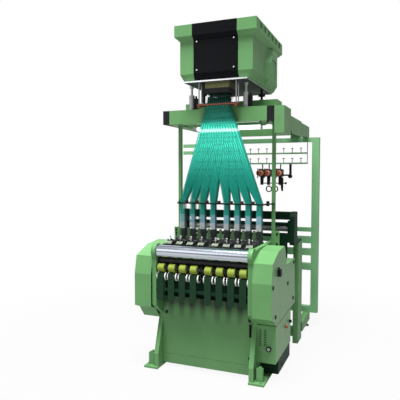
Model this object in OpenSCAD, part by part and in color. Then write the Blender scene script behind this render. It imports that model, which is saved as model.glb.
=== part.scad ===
// Narrow fabric needle loom with eight weaving heads under an electronic jacquard head.
// Millimetres. X runs along the front, Y to the back and Z up. The origin is the middle of
// the four floor anchor holes, and every Y below is counted from the front panel's face.

/* [Base] */
// Half the distance between the two side frames
frame_in = 372; // [372:1:400]
// Thickness of a side frame
frame_t = 36; // [24:1:44]
// Height of a side frame
frame_top = 990; // [975:1:1000]
// Depth of a side frame behind the front panel
frame_back = 715; // [700:1:760]
// Thickness of a foot plate
foot_t = 16; // [10:1:24]
// Width of a foot plate
foot_w = 120; // [112:1:140]
// Radius of a floor anchor hole
anchor_r = 9; // [5:0.5:11]
// Height of the front panel's top edge
panel_top = 573; // [520:1:600]
// Height of the seam above the kick plate
panel_seam = 104; // [90:1:140]
// Thickness of the sheet panels
sheet_t = 3; // [2:0.5:5]
// Ground clearance of the kick plate
kick_gap = 25; // [18:1:40]
// Gap between two panels
panel_gap = 2; // [1:0.5:3]

/* [Side covers] */
// Width of a side cover
cover_w = 144; // [130:1:170]
// Wall of a side cover
cover_wall = 4; // [3:0.5:6]
// Side of the square crank hole
crank_hole = 32; // [20:1:40]
// Side of the black cap over the crank hole
crank_cap = 50; // [44:1:56]
// Height of the crank cap above its cover
crank_cap_h = 25; // [15:1:35]
// Radius of a cover bolt's head
bolt_head_r = 15; // [10:0.5:17]
// Radius of a small screw's head
screw_head_r = 9; // [7:0.5:11]
// Height of a bolt head
bolt_head_h = 6; // [3:0.5:7]
// Radius of a bolt's shank
bolt_r = 4; // [3:0.5:5]

/* [Control box] */
// Height of the control box's floor
box_bottom = 136; // [120:1:150]
// Height of the control box's top
box_top = 421; // [400:1:424]
// Depth of the control box
box_depth = 540; // [500:1:560]
// Wall of the control box
box_wall = 3; // [2:0.5:5]
// Radius of the door's hinge pin
hinge_pin_r = 4; // [3:0.5:5]
// Radius of the main switch
switch_r = 19; // [14:1:24]
// Radius of the stop button
button_r = 15; // [10:1:20]

/* [Take-down] */
// Radius of the steel take-down roller
roller_r = 50; // [40:1:54]
// Height of the take-down roller's axis
roller_z = 943; // [935:1:948]
// Radius of the take-down roller's journals
journal_r = 15; // [10:1:20]
// Radius of the rubber pressure roller
press_r = 20; // [15:1:22]
// Radius of the short nip rollers
nip_r = 33; // [28:1:36]
// Width of a nip roller
nip_w = 55; // [40:1:60]
// Radius of the guide spools' flanges
spool_r = 31; // [27:1:34]
// Width of a guide spool over its flanges
spool_w = 76; // [60:1:76]
// Thickness of a spool flange
flange_t = 9; // [5:1:14]
// Width of a guide plate
plate_w = 52; // [40:1:60]
// Thickness of a guide plate
plate_t = 6; // [3:1:7]

/* [Weaving heads] */
// Distance from one weaving head to the next
head_pitch = 91.5; // [86:0.5:91.5]
// Distance between the two middle heads
middle_gap = 118; // [104:1:118]
// Width of a weft head
weft_head_w = 44; // [30:1:44]
// Width of a fabric guide
guide_w = 48; // [36:1:48]
// Number of ribs on a fabric guide
guide_ribs = 6; // [3:1:8]
// Radius of the needle bar
needle_bar_r = 9; // [7:0.5:10]
// Radius of the curve of a weft needle
needle_curve = 46; // [38:1:48]
// Radius of the batten shaft
batten_shaft_r = 12; // [9:0.5:14]
// Width of a reed
reed_w = 46; // [36:1:46]

/* [Drive] */
// Radius of the main shaft
main_shaft_r = 20; // [15:1:24]
// Radius of the main pulley
main_pulley_r = 105; // [80:1:110]
// Radius of the motor pulley
motor_pulley_r = 42; // [35:1:50]
// Radius of the motor's casing
motor_r = 80; // [60:1:86]
// Width of the belt
belt_w = 26; // [18:1:30]

/* [Harness] */
// Sideways place of the harness and the weaving heads
harness_x = 14; // [0:1:15]
// Distance of the gathered cords behind the front panel
harness_y = 240; // [236:1:244]
// Distance of the comber board behind the front panel
comber_y = 290; // [280:1:296]
// Width of one harness column
strand_w = 47; // [36:1:50]
// Depth of one harness column
strand_d = 60; // [50:1:66]
// Height of the comber board's underside
comber_z = 1299; // [1250:1:1350]
// Thickness of the comber board
comber_t = 10; // [8:1:14]
// Width of the gathered cords under the head
gather_w = 200; // [180:1:220]
// Height of the copper guide board's underside
board_z = 2100; // [2098:1:2110]
// Thickness of the copper guide board
board_t = 12; // [8:1:16]

/* [Gantry] */
// Sideways place of the gantry
gantry_x = -25; // [-30:1:-20]
// Half the length of the front beam over its end caps
beam_half = 485; // [470:1:500]
// Length of a black end cap
cap_w = 60; // [40:1:80]
// Depth of the front beam
beam_d = 110; // [100:1:130]
// Height of the front beam
beam_h = 116; // [100:1:120]
// Wall of the beams
beam_wall = 5; // [3:0.5:8]
// Width of a side beam
side_beam_w = 100; // [90:1:110]
// Height of the undersides of the beams
beam_z = 1970; // [1965:1:1975]
// Width of a column
column_w = 26; // [24:1:32]
// Depth of a column
column_d = 34; // [30:1:50]
// Radius of a front jack
jack_r = 23; // [18:1:26]

/* [Jacquard head] */
// Half the width of the head's body
head_half = 308; // [300:1:320]
// How far the head's lid stands out beyond the body on each side
lid_flare = 38; // [28:1:44]
// Depth of a pocket in the lid's side
pocket_t = 9; // [5:1:12]
// Depth of the lid
lid_depth = 896; // [880:1:920]
// Height of the lid's side
lid_h = 91; // [80:1:110]
// Height of the body's upright side
head_h = 264; // [240:1:280]
// Wall of the head's covers
head_wall = 4; // [3:0.5:6]
// Thickness of the steel base plate
base_plate_t = 12; // [8:1:16]
// Half the width of the black front band
band_half = 188; // [150:1:200]
// Height of the hook modules
hook_h = 54; // [40:1:60]

/* [Creel] */
// Half the distance between the creel's posts
creel_in = 576; // [570:1:590]
// Width of a creel post
post_w = 71; // [50:1:80]
// Depth of the creel's tubes
creel_d = 60; // [50:1:64]
// Height of the creel's top
creel_top = 1912; // [1908:1:1916]
// Height of the creel's lowest bar above the floor
creel_low = 150; // [140:1:170]
// Distance between two thread guides
guide_pitch = 88; // [80:1:100]
// Radius of a feeder's drum
drum_r = 32; // [28:1:33]
// Radius of a let-off roller
letoff_r = 26; // [20:1:28]

/* [Fits] */
// Running clearance around a shaft
fit = 0.05; // [0.02:0.01:0.1]
// Clearance beside a turning piece
side_gap = 0.6; // [0.4:0.1:1]

/* [Hidden] */
$fn = 48;

// Front and rear anchor holes, and the shift that puts the origin between them
anchor_x = frame_in + 90;
anchor_front = -84;
anchor_back = 660;
panel_y = -(anchor_front + anchor_back) / 2;
creel_y = 1420;
tie_size = 60;
tie_low = 40;
tie_rear = 620;
tie_high = 860;
shelf_z = 470;
shelf_t = 8;

// Side frame and covers
frame_out = frame_in + frame_t;
cover_out = frame_out + cover_w;
frame_front = -118;
lobe_r = roller_r + 12;
roller_y = -77;
leg_y = -88;
boss_z = 120;
cover_top = [[-61, 478], [-138, 510], [-138, 765], [-107, 905], [75, 969], [285, 984], [312, 966],
  [367, 826], [706, 817]];
right_cover_low = 425;
left_cover_low = 389;
crank_gap = 0.4;
drain_r = 1.4;
cover_bolt_at = [[-95, 733], [417, 661], [659, 794], [642, 487], [-10, 499]];
crank_at = [66, 814];

// Take-down axes
press_y = -70;
press_z = roller_z - roller_r - press_r - side_gap;
nip_y = -92;
nip_z = 818;
nip_shaft_r = 10;
spool_y = -84;
spool_z = 750;
spool_shaft_r = 8;
plate_back = spool_y - spool_r - 2;
plate_hang = nip_z - nip_r - 4;
plate_low = 560;
bar_z = 640;
head_at = [for (i = [3:-1:0]) -(middle_gap / 2 + i * head_pitch),
  for (i = [0:3]) middle_gap / 2 + i * head_pitch];
warp_at = [for (x = head_at) x + harness_x];

// Weaving heads
rail_z = 870;
rail_top = 930;
breast_top = 985;
needle_y = 140;
needle_z = 962;
needle_block = 14;
needle_hub = 8;
needle_lift = 46;
batten_y = 185;
batten_z = 700;
batten_top = 972;
spring_top = 1000;

// Drive
main_y = 330;
main_z = 600;
motor_y = 590;
motor_z = 572;
pulley_x = frame_out + 30;
pulley_w = belt_w + 8;

// Control box
box_y = 10;
box_back = box_y + box_depth;
door_gap = 1;
knuckle_r = hinge_pin_r + 3;
hinge_x = cover_out - knuckle_r;
hinge_y = box_y + box_wall + door_gap + knuckle_r;
lever_at = [300, 1006];
switch_at = [499, 246];
button_at = [349, 323];
lock_at = [497, 325];

// Harness and gantry
drop_low = spring_top;
comber_half = 375;
comber_top = comber_z + comber_t;
beam_front = 290;
beam_back = beam_front + beam_d;
beam_top = beam_z + beam_h;
side_in = beam_half - side_beam_w;
side_top = beam_top - 8;
side_back = creel_y + creel_d;
side_tie_h = 68;
rear_beam_front = 640;
rear_beam_d = 190;
rear_beam_h = 110;
rear_beam_over = 40;
rear_beam_top = side_top + rear_beam_h;
column_y = 440;
column_low = 832;
jack_x = 238;
jack_h = 125;
stem_r = 10;
nut_h = 16;
rear_jack_x = 240;
rear_jack_y = 735;
gather_d = strand_d - 10;
board_half = 172;
base_z = 2301 - base_plate_t;
hook_z = base_z - hook_h;
hook_frame_h = 40;
hook_front = 200;
hook_back = 390;

// Jacquard head
head_z = 2301;
chamfer_h = 59;
body_top = head_z + chamfer_h + head_h;
taper_h = 35;
lid_z = body_top + taper_h;
lid_top = lid_z + lid_h;
head_mid = 618;
lid_half = head_half + lid_flare;
bulge_t = lid_flare - 4;
lid_back = lid_depth / 2;
body_back = lid_back - 34;
foot_back = body_back - 28;
foot_half = head_half - 29;
plate_half = foot_half - 11;
pocket_w = 92;
pocket_pitch = 128;
pocket_first = 252;
bulge_base = [548, 896];
bulge_face = [648, 878];
inset_screw = [157];

// Rear and creel
rear_in = 502;
rear_w = 49;
rear_front = 895;
rear_d = 177;
rear_top = 925;
rail_low = 1650;
rail_high = 1752;
rail_end = 530;
letoff_front = 712;
letoff_back = 852;
letoff_top = 1216;
letoff_y = 800;
letoff_z = 1062;
letoff_journal = 12;
feeder_at = [66, 136, 256];
feeder_z = 1560;
feeder_mid = creel_y + creel_d / 2;
feeder_arm = 100;
floor_beam_z = 60;
floor_beam_h = 80;

// Helpers
module from_panel() translate([0, panel_y, 0]) children();

module span(x0, x1, y0, y1, z0, z1) translate([x0, y0, z0]) cube([x1 - x0, y1 - y0, z1 - z0]);

module along_x(x0, x1) translate([x0, 0, 0]) rotate([90, 0, 90]) linear_extrude(x1 - x0) children();

module rod_x(y, z, r, x0, x1) translate([x0, y, z]) rotate([0, 90, 0]) cylinder(r = r, h = x1 - x0);

module rod_y(x, z, r, y0, y1) translate([x, y0, z]) rotate([-90, 0, 0]) cylinder(r = r, h = y1 - y0);

module rod_z(x, y, r, z0, z1) translate([x, y, z0]) cylinder(r = r, h = z1 - z0);

module pair() {
  children();
  mirror([1, 0, 0]) children();
}

// Square tube along X, Y or Z with open ends
module tube_x(x0, x1, y0, y1, z0, z1, wall) difference() {
  span(x0, x1, y0, y1, z0, z1);
  span(x0 - 1, x1 + 1, y0 + wall, y1 - wall, z0 + wall, z1 - wall);
}

module tube_y(x0, x1, y0, y1, z0, z1, wall) difference() {
  span(x0, x1, y0, y1, z0, z1);
  span(x0 + wall, x1 - wall, y0 - 1, y1 + 1, z0 + wall, z1 - wall);
}

module tube_z(x0, x1, y0, y1, z0, z1, wall) difference() {
  span(x0, x1, y0, y1, z0, z1);
  span(x0 + wall, x1 - wall, y0 + wall, y1 - wall, z0 - 1, z1 + 1);
}

// Square tube with end plates and a small drain hole below
module closed_tube(x0, x1, y0, y1, z0, z1, wall) difference() {
  span(x0, x1, y0, y1, z0, z1);
  span(x0 + wall, x1 - wall, y0 + wall, y1 - wall, z0 + wall, z1 - wall);
  rod_z(x0 + wall + 12, y0 + wall + 12, drain_r, z0 - 1, z0 + wall + 1, $fn = 12);
}

// Block that tapers from one rectangle to another around a middle point
module taper(x, y, z0, hx0, hy0, z1, hx1, hy1) hull() {
  translate([x - hx0, y - hy0, z0]) cube([2 * hx0, 2 * hy0, 0.01]);
  translate([x - hx1, y - hy1, z1 - 0.01]) cube([2 * hx1, 2 * hy1, 0.01]);
}

// Side frame: leg, foot and the round seat of the take-down roller
module frame_side() difference() {
  union() {
    along_x(frame_in, frame_out) union() {
      polygon([[leg_y, foot_t], [leg_y, boss_z], [5, 400], [5, 430], [frame_front, 520],
        [frame_front, roller_z - 50], [roller_y, roller_z], [roller_y + 20, roller_z + 40],
        [15, frame_top], [frame_back, frame_top], [frame_back, foot_t]]);
      translate([roller_y, roller_z]) circle(r = lobe_r);
    }
    span(frame_in, frame_in + foot_w, -104, 162, 0, foot_t);
    span(frame_in, frame_in + foot_w, anchor_back - 80, anchor_back + 60, 0, foot_t);
    span(anchor_x - 38, anchor_x + 8, -62, -25, foot_t, boss_z - 8);
    translate([anchor_x - 15, -62, boss_z - 8]) rotate([-90, 0, 0]) cylinder(r = 12, h = 37);
  }
  rod_x(roller_y, roller_z, journal_r + fit, frame_in - 1, frame_out - 6);
  rod_x(press_y, press_z, spool_shaft_r + fit, frame_in - 1, frame_out - 6);
  rod_x(nip_y, nip_z, nip_shaft_r + fit, frame_in - 1, frame_out - 6);
  rod_x(spool_y, spool_z, spool_shaft_r + fit, frame_in - 1, frame_out - 6);
  rod_x(batten_y, batten_z, batten_shaft_r + fit, frame_in - 1, frame_out - 6);
  rod_x(main_y, main_z, main_shaft_r + fit, frame_in - 1, frame_out + 1);
  rod_x(motor_y, motor_z, 22, frame_in - 1, frame_out + 1);
  for (y = [anchor_front, anchor_back]) rod_z(anchor_x, y, anchor_r, -1, foot_t + 1);
}

module left_side_frame() from_panel() color("seagreen") mirror([1, 0, 0]) {
  frame_side();
  difference() {
    for (x = [frame_in + 6, frame_out - 14]) along_x(x, x + 8) union() {
      translate([lever_at[0] - 10, frame_top]) square([20, lever_at[1] - frame_top]);
      translate(lever_at) circle(r = 10);
    }
    rod_x(lever_at[0], lever_at[1], 4 + fit, frame_in, frame_out);
  }
}

module right_side_frame() from_panel() color("seagreen") frame_side();

// Folded sheet panel between the side frames
module folded_sheet(z0, z1) difference() {
  span(-frame_in, frame_in, 0, 22, z0, z1);
  span(-frame_in + sheet_t, frame_in - sheet_t, sheet_t, 23, z0 + sheet_t, z1 - sheet_t);
}

panel_screw_at = [[-frame_in + 34, 442], [frame_in - 16, 448], [frame_in - 14, 159]];

module front_panel() from_panel() color("mediumseagreen") difference() {
  folded_sheet(panel_seam, panel_top);
  for (p = panel_screw_at) rod_y(p[0], p[1], bolt_r + 0.2, -1, sheet_t + 1);
  span(frame_in - 17, frame_in - 8, -1, sheet_t + 1, 322, 413);
}

module kick_plate() from_panel() color("mediumseagreen") folded_sheet(kick_gap, panel_seam - panel_gap);

// Bolts and screws, each head flat on its sheet
module bolt_y(x, z, y, r) {
  rod_y(x, z, r, y - bolt_head_h, y);
  rod_y(x, z, bolt_r, y - 1, y + 12);
}

module bolt_x(y, z, x, r) {
  rod_x(y, z, r, x, x + bolt_head_h);
  rod_x(y, z, bolt_r, x - 14, x + 1);
}

module fasteners() from_panel() color("dimgray") {
  for (p = panel_screw_at) bolt_y(p[0], p[1], 0, screw_head_r + 1);
  pair() for (p = cover_bolt_at) bolt_x(p[0], p[1], cover_out, bolt_head_r);
  for (p = inset_screws) {
    rod_y(p[0], p[1], screw_head_r, inset_y - bolt_head_h, inset_y);
    rod_y(p[0], p[1], bolt_r, inset_y - 1, inset_y + inset_t);
  }
  pair() for (z = bracket_bolt_z) bolt_y(frame_out + column_w + 22, z, column_y, screw_head_r);
  translate([0, crank_at[0], crank_at[1]]) {
    span(cover_out, cover_out + crank_cap_h, -crank_cap / 2, crank_cap / 2, -crank_cap / 2, crank_cap / 2);
    span(cover_out - cover_wall - 6, cover_out + 1, -crank_plug, crank_plug, -crank_plug, crank_plug);
    rod_x(6, crank_cap / 2 + 9, 5, cover_out, cover_out + 12);
  }
}

bracket_bolt_z = [972, 1056];
crank_plug = crank_hole / 2 - crank_gap;

// Square tubes that tie the two side frames
module tie_beams() from_panel() color("seagreen") {
  for (p = [[40, tie_low], [tie_rear, tie_low], [tie_rear, tie_high]])
    closed_tube(-frame_in, frame_in, p[0], p[0] + tie_size, p[1], p[1] + tie_size, beam_wall);
  difference() {
    span(0, frame_in, tie_rear - 120, tie_rear + tie_size, shelf_z, shelf_z + shelf_t);
    span(40, 120, tie_rear - 80, tie_rear + 20, shelf_z - 1, shelf_z + shelf_t + 1);
  }
}

module inner_panels() from_panel() color("darkslategray") {
  span(-frame_in, frame_in, 44, 44 + sheet_t, 130, rail_z - 20);
  span(-frame_in, frame_in, frame_back - sheet_t, frame_back, 110, 850);
}

// Outline of a side cover over the height of its underside
function cover_line(low) = concat([[12, low]], cover_top, [[727, low + 2]]);

// Hollow cover, open towards its side frame
module cover_shell(low) difference() {
  along_x(frame_out, cover_out) polygon(cover_line(low));
  along_x(frame_out - 1, cover_out - cover_wall) offset(delta = -cover_wall) polygon(cover_line(low));
  for (p = cover_bolt_at) rod_x(p[0], p[1], bolt_r + 0.2, cover_out - cover_wall - 1, cover_out + 1);
}

module left_side_cover() from_panel() color("mediumaquamarine")
  mirror([1, 0, 0]) cover_shell(left_cover_low);

module right_side_cover() from_panel() color("mediumaquamarine") difference() {
  cover_shell(right_cover_low);
  translate([cover_out - cover_wall - 1, crank_at[0] - crank_hole / 2, crank_at[1] - crank_hole / 2])
    cube([cover_wall + 2, crank_hole, crank_hole]);
}

// Control box: a shell that its door closes on the right
module control_box() from_panel() color("mediumaquamarine") {
  difference() {
    span(frame_out, cover_out, box_y, box_back, box_bottom, box_top);
    span(frame_out + box_wall, cover_out + 1, box_y + box_wall, box_back - box_wall,
      box_bottom + box_wall, box_top - box_wall);
    for (x = [frame_out + 15, frame_out + 53], i = [0:9])
      span(x, x + 19, box_y - 1, box_y + box_wall + 1, 264 + i * 13, 270 + i * 13);
    rod_y(switch_at[0], switch_at[1], 8 + fit, box_y - 1, box_y + box_wall + 1);
  }
  rod_z(hinge_x, hinge_y, hinge_pin_r, box_bottom + box_wall, box_top - box_wall);
}

// Door: a sheet whose front edge is rolled into a tube around the hinge pin
module box_door() from_panel() color("mediumaquamarine") difference() {
  union() {
    span(cover_out - box_wall, cover_out, hinge_y, box_back - box_wall - door_gap,
      box_bottom + box_wall + door_gap, box_top - box_wall - door_gap);
    rod_z(hinge_x, hinge_y, knuckle_r, box_bottom + box_wall + door_gap, box_top - box_wall - door_gap);
  }
  rod_z(hinge_x, hinge_y, hinge_pin_r + fit, box_bottom, box_top);
  rod_x(button_at[0], button_at[1], 8 + fit, cover_out - 10, cover_out + 1);
  rod_x(lock_at[0], lock_at[1], 8 + fit, cover_out - 10, cover_out + 1);
}

module box_plinth() from_panel() color("darkgreen") {
  closed_tube(frame_out, cover_out - 3, box_y + 102, box_back - 14, 22, box_bottom, 3);
  rod_x(238, 62, 15, cover_out - 3, cover_out + 3);
}

// Rotary main switch on the box's front
module main_switch() from_panel() color("black") {
  rod_y(switch_at[0], switch_at[1], 8, box_y - 4, box_y + box_wall + 5);
  difference() {
    rod_y(switch_at[0], switch_at[1], switch_r, box_y - 13, box_y - 0.3);
    difference() {
      rod_y(switch_at[0], switch_at[1], switch_r - 5, box_y - 14, box_y - 7);
      span(switch_at[0] - 5, switch_at[0] + 5, box_y - 15, box_y, switch_at[1] - 40, switch_at[1] + 40);
    }
  }
}

module stop_button() from_panel() color("orangered") {
  rod_x(button_at[0], button_at[1], 8, cover_out - 12, cover_out + 8);
  translate([cover_out + 7, button_at[0], button_at[1]]) rotate([0, 90, 0])
    rotate_extrude() polygon([[0, 0], [button_r - 2, 0], [button_r, 2], [button_r, 7],
      [button_r - 3, 10], [0, 11]]);
}

module door_lock() from_panel() color("black") {
  rod_x(lock_at[0], lock_at[1], 8, cover_out - 12, cover_out + 4);
  rod_x(lock_at[0], lock_at[1], 13, cover_out + 0.3, cover_out + 9);
  span(cover_out + 8, cover_out + 20, lock_at[0] - 3, lock_at[0] + 3, lock_at[1] - 12, lock_at[1] + 12);
}

// Roller with two journals in the side frames
module roller(y, z, r, shaft) {
  rod_x(y, z, r, -frame_in + side_gap, frame_in - side_gap);
  rod_x(y, z, shaft, -frame_out + 8, frame_out - 8);
}

module take_down_roller() from_panel() color("silver") roller(roller_y, roller_z, roller_r, journal_r);

module press_roller() from_panel() color("black") roller(press_y, press_z, press_r, spool_shaft_r);

module nip_rollers() from_panel() color("yellowgreen") {
  rod_x(nip_y, nip_z, nip_shaft_r, -frame_out + 8, frame_out - 8);
  for (x = head_at) translate([x - nip_w / 2, nip_y, nip_z]) rotate([0, 90, 0])
    rotate_extrude() polygon([[0, 0], [nip_r - 4, 0], [nip_r, 4], [nip_r, nip_w - 4],
      [nip_r - 4, nip_w], [0, nip_w]]);
}

module guide_spools() from_panel() color("whitesmoke") {
  rod_x(spool_y, spool_z, spool_shaft_r, -frame_out + 8, frame_out - 8);
  for (x = head_at) translate([x - spool_w / 2, spool_y, spool_z]) rotate([0, 90, 0])
    rotate_extrude() polygon([[0, 0], [spool_r, 0], [spool_r, flange_t], [spool_r - 10, flange_t + 3],
      [spool_r - 10, spool_w - flange_t - 3], [spool_r, spool_w - flange_t], [spool_r, spool_w], [0, spool_w]]);
}

// Fabric guide plates: straight strips with round lower ends
module guide_plates() from_panel() color("darkgreen") for (x = head_at)
  translate([x, plate_back, 0]) rotate([90, 0, 0]) linear_extrude(plate_t) difference() {
    union() {
      translate([-plate_w / 2, plate_low + plate_w / 2])
        square([plate_w, plate_hang - plate_low - plate_w / 2]);
      translate([0, plate_low + plate_w / 2]) circle(r = plate_w / 2);
    }
    translate([0, bar_z + 10]) circle(r = 3);
  }

module plate_bar() from_panel() color("darkslategray") {
  span(-frame_in, frame_in, plate_back, plate_back + 20, bar_z, bar_z + 20);
  for (x = head_at) rod_y(x, bar_z + 10, 3, plate_back - plate_t - 2, plate_back + 1);
  span(-frame_in, frame_in, -44, -36, 812, 848);
}

// Black cross rails that carry the weaving heads
module weaving_rails() from_panel() color("darkslategray") {
  closed_tube(-frame_in, frame_in, 50, 120, rail_z, rail_top, beam_wall);
  closed_tube(-frame_in, frame_in, -16, 42, 925, breast_top, beam_wall);
  closed_tube(-frame_in, frame_in, 224, 334, 945, spring_top, beam_wall);
  for (side = [-1, 1]) {
    x = harness_x + side * (middle_gap / 2 + 2.5 * head_pitch);
    along_x(x - needle_block / 2, x + needle_block / 2) difference() {
      polygon([[60, rail_top], [110, rail_top], [130, 946], [154, 946], [154, 978],
        [124, 978], [96, 950], [60, 942]]);
      translate([needle_y, needle_z]) circle(r = needle_bar_r + fit);
    }
  }
}

// Ribbed guide under each ribbon, between the roller and the weft head
module fabric_guides() from_panel() color("beige") for (x = warp_at) {
  along_x(x - guide_w / 2, x + guide_w / 2)
    polygon([[-14, breast_top], [40, breast_top], [40, 1018], [30, 1018], [-14, 990]]);
  for (i = [0:guide_ribs - 1]) {
    rib_x = x - guide_w / 2 + i * (guide_w - 4) / (guide_ribs - 1);
    along_x(rib_x, rib_x + 4)
      polygon([[-15, breast_top], [-14, breast_top], [-14, 990], [30, 1018], [29, 1022], [-15, 994]]);
  }
}

// Weft heads with their thread stalks
module weft_heads() from_panel() color("black") for (x = warp_at) {
  along_x(x - weft_head_w / 2, x + weft_head_w / 2) difference() {
    polygon([[55, rail_top], [115, rail_top], [115, 985], [100, 1012], [64, 1004], [55, 985]]);
    translate([86, 968]) circle(r = 9);
  }
  along_x(x - 8, x + 8) polygon([[64, 1000], [64, 1004], [46, 1026], [50, 1030], [74, 1006]]);
  stalk_x = x - weft_head_w / 2 - 4;
  span(stalk_x - 4, stalk_x + 4, 78, 96, rail_top, 990);
  rod_z(stalk_x, 87, 3, 989, 1040);
  translate([stalk_x, 87, 1042]) sphere(r = 7);
}

// Needle bar: it slides along X and carries one curved weft needle for each ribbon
module needle_bar() from_panel() color("gainsboro") {
  rod_x(needle_y, needle_z, needle_bar_r, -frame_in + 18, frame_in - 34);
  for (x = warp_at) {
    hub_x = x - head_pitch / 2 + needle_block / 2 + 1;
    rod_x(needle_y, needle_z, needle_bar_r + 5, hub_x, hub_x + needle_hub);
    span(hub_x, hub_x + needle_hub, needle_y - 5, needle_y + 5, needle_z, needle_z + needle_lift + 3);
    translate([hub_x + needle_hub - 1, needle_y - needle_curve, needle_z + needle_lift])
      rotate([0, 0, 24]) rotate_extrude(angle = 66) translate([needle_curve, 0]) circle(r = 2.5);
  }
}

// Reed batten: two swing arms, the bar and one reed for each ribbon
module reed_batten() from_panel() color("darkslategray") {
  rod_x(batten_y, batten_z, batten_shaft_r, -frame_out + 8, frame_out - 8);
  for (x = [-300, 0, 300]) along_x(x - 9, x + 9) union() {
    translate([batten_y, batten_z]) circle(r = batten_shaft_r + 10);
    polygon([[batten_y - 16, batten_z], [batten_y - 7, batten_top - 20], [batten_y + 7, batten_top - 20],
      [batten_y + 16, batten_z]]);
  }
  span(-frame_in + 10, frame_in - 10, batten_y - 7, batten_y + 7, batten_top - 22, batten_top);
  for (x = warp_at) {
    span(x - reed_w / 2, x + reed_w / 2, batten_y - 4, batten_y + 4, batten_top, batten_top + 6);
    span(x - reed_w / 2, x + reed_w / 2, batten_y - 4, batten_y + 4, batten_top + 50, batten_top + 56);
    for (i = [0:12]) {
      dent_x = x - reed_w / 2 + i * (reed_w - 2) / 12;
      span(dent_x, dent_x + 2, batten_y - 2, batten_y + 2, batten_top + 6, batten_top + 50);
    }
  }
}

// Upright guides for the warp between the heddles
module warp_guides() from_panel() color("darkseagreen") for (i = [0:6]) {
  x = (warp_at[i] + warp_at[i + 1]) / 2;
  span(x - 12, x + 12, comber_y + 4, comber_y + 10, spring_top, spring_top + 92);
}

// Main shaft with its pulley in the right cover
module main_shaft() from_panel() color("silver") {
  rod_x(main_y, main_z, main_shaft_r, -frame_out - 8, pulley_x + pulley_w + 8);
  translate([pulley_x, main_y, main_z]) rotate([0, 90, 0]) difference() {
    pulley(main_pulley_r);
    for (a = [0:60:300]) rotate(a) translate([main_pulley_r * 0.58, 0, -1])
      cylinder(r = main_pulley_r * 0.18, h = pulley_w + 2);
  }
  for (x = [-240, 0, 240]) rod_x(main_y, main_z + 12, main_shaft_r + 18, x - 12, x + 12);
}

module pulley(r) rotate_extrude() polygon([[0, 0], [r + 5, 0], [r + 5, 3], [r, 4], [r, pulley_w - 4],
  [r + 5, pulley_w - 3], [r + 5, pulley_w], [0, pulley_w]]);

module motor() from_panel() color("darkslategray") {
  difference() {
    union() {
      rod_x(motor_y, motor_z, motor_r, 110, frame_in - 30);
      for (a = [-130:20:130]) translate([130, motor_y, motor_z]) rotate([a, 0, 0])
        translate([0, -2, motor_r - 3]) cube([frame_in - 190, 4, 9]);
      rod_x(motor_y, motor_z, motor_r - 24, frame_in - 30, frame_in - 14);
    }
    rod_x(motor_y, motor_z, 14 + fit, frame_in - 70, frame_in);
  }
  span(150, frame_in - 60, motor_y - 50, motor_y + 50, shelf_z + shelf_t, motor_z - motor_r + 10);
}

module motor_rotor() from_panel() color("silver") {
  rod_x(motor_y, motor_z, 14, frame_in - 68, pulley_x + pulley_w + 6);
  translate([pulley_x, motor_y, motor_z]) rotate([0, 90, 0]) pulley(motor_pulley_r);
}

// Flat belt around the two pulleys
module belt_loop(extra) hull() {
  translate([main_y, main_z]) circle(r = main_pulley_r + extra);
  translate([motor_y, motor_z]) circle(r = motor_pulley_r + extra);
}

module drive_belt() from_panel() color("black") along_x(pulley_x + 4.4, pulley_x + 3.6 + belt_w) difference() {
  belt_loop(4.4);
  belt_loop(0.4);
}

// Start lever on top of the left side frame
module start_lever() from_panel() color("black") {
  x = -(frame_in + frame_out) / 2;
  rod_x(lever_at[0], lever_at[1], 4, -frame_out + 2, -frame_in - 4);
  rod_x(lever_at[0], lever_at[1], 8, x - 3.4, x + 3.4);
  span(x - 3, x + 3, lever_at[0] - 5, lever_at[0] + 5, lever_at[1], lever_at[1] + 34);
  translate([x, lever_at[0], lever_at[1] + 40]) sphere(r = 9);
}

// Comber board on its two arms, with a clamp between every two columns
module comber_board() from_panel() color("black") {
  span(harness_x - comber_half, harness_x + comber_half, comber_y - 40, comber_y + 40, comber_z, comber_top);
  for (side = [-1, 1]) {
    end_x = harness_x + side * comber_half;
    post_x = side * (frame_out + column_w / 2);
    hull() {
      translate([end_x - side * 12 - 12, comber_y + 20, comber_z]) cube([24, 20, comber_t]);
      translate([post_x - column_w / 2, column_y - 10, comber_z]) cube([column_w, 10, comber_t]);
    }
    rod_z(0.6 * (end_x - side * 12) + 0.4 * post_x, 0.6 * (comber_y + 30) + 0.4 * (column_y - 5), 13,
      comber_z - 10, comber_top + 20);
  }
  for (i = [0:6]) {
    x = (warp_at[i] + warp_at[i + 1]) / 2;
    span(x - 10, x + 10, comber_y - 46, comber_y - 18, comber_top, comber_top + 20);
    rod_y(x, comber_top + 10, 8, comber_y - 54, comber_y - 46);
  }
}

// One cord group: a fan from the whole gathered width to its place in the comber board
module cord_group(i) hull() {
  translate([harness_x - gather_w / 2, harness_y - gather_d / 2, board_z - 1])
    cube([gather_w, gather_d, 1]);
  translate([warp_at[i] - strand_w / 2, comber_y - strand_d / 2, comber_top])
    cube([strand_w, strand_d, 1]);
}

module harness_cords() from_panel() color("turquoise") {
  for (i = [0:7]) cord_group(i);
  hull() {
    translate([harness_x - gather_w / 2, harness_y - gather_d / 2, board_z + board_t])
      cube([gather_w, gather_d, 1]);
    translate([harness_x - gather_w / 2, hook_front + 6, hook_z - hook_frame_h - 1])
      cube([gather_w, hook_back - hook_front - 12, 1]);
  }
}

// Heddles and return springs under the comber board
module heddle_drops() from_panel() color("lightblue") for (x = warp_at)
  span(x - strand_w / 2, x + strand_w / 2, comber_y - strand_d / 2, comber_y + strand_d / 2,
    drop_low, comber_z);

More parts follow.
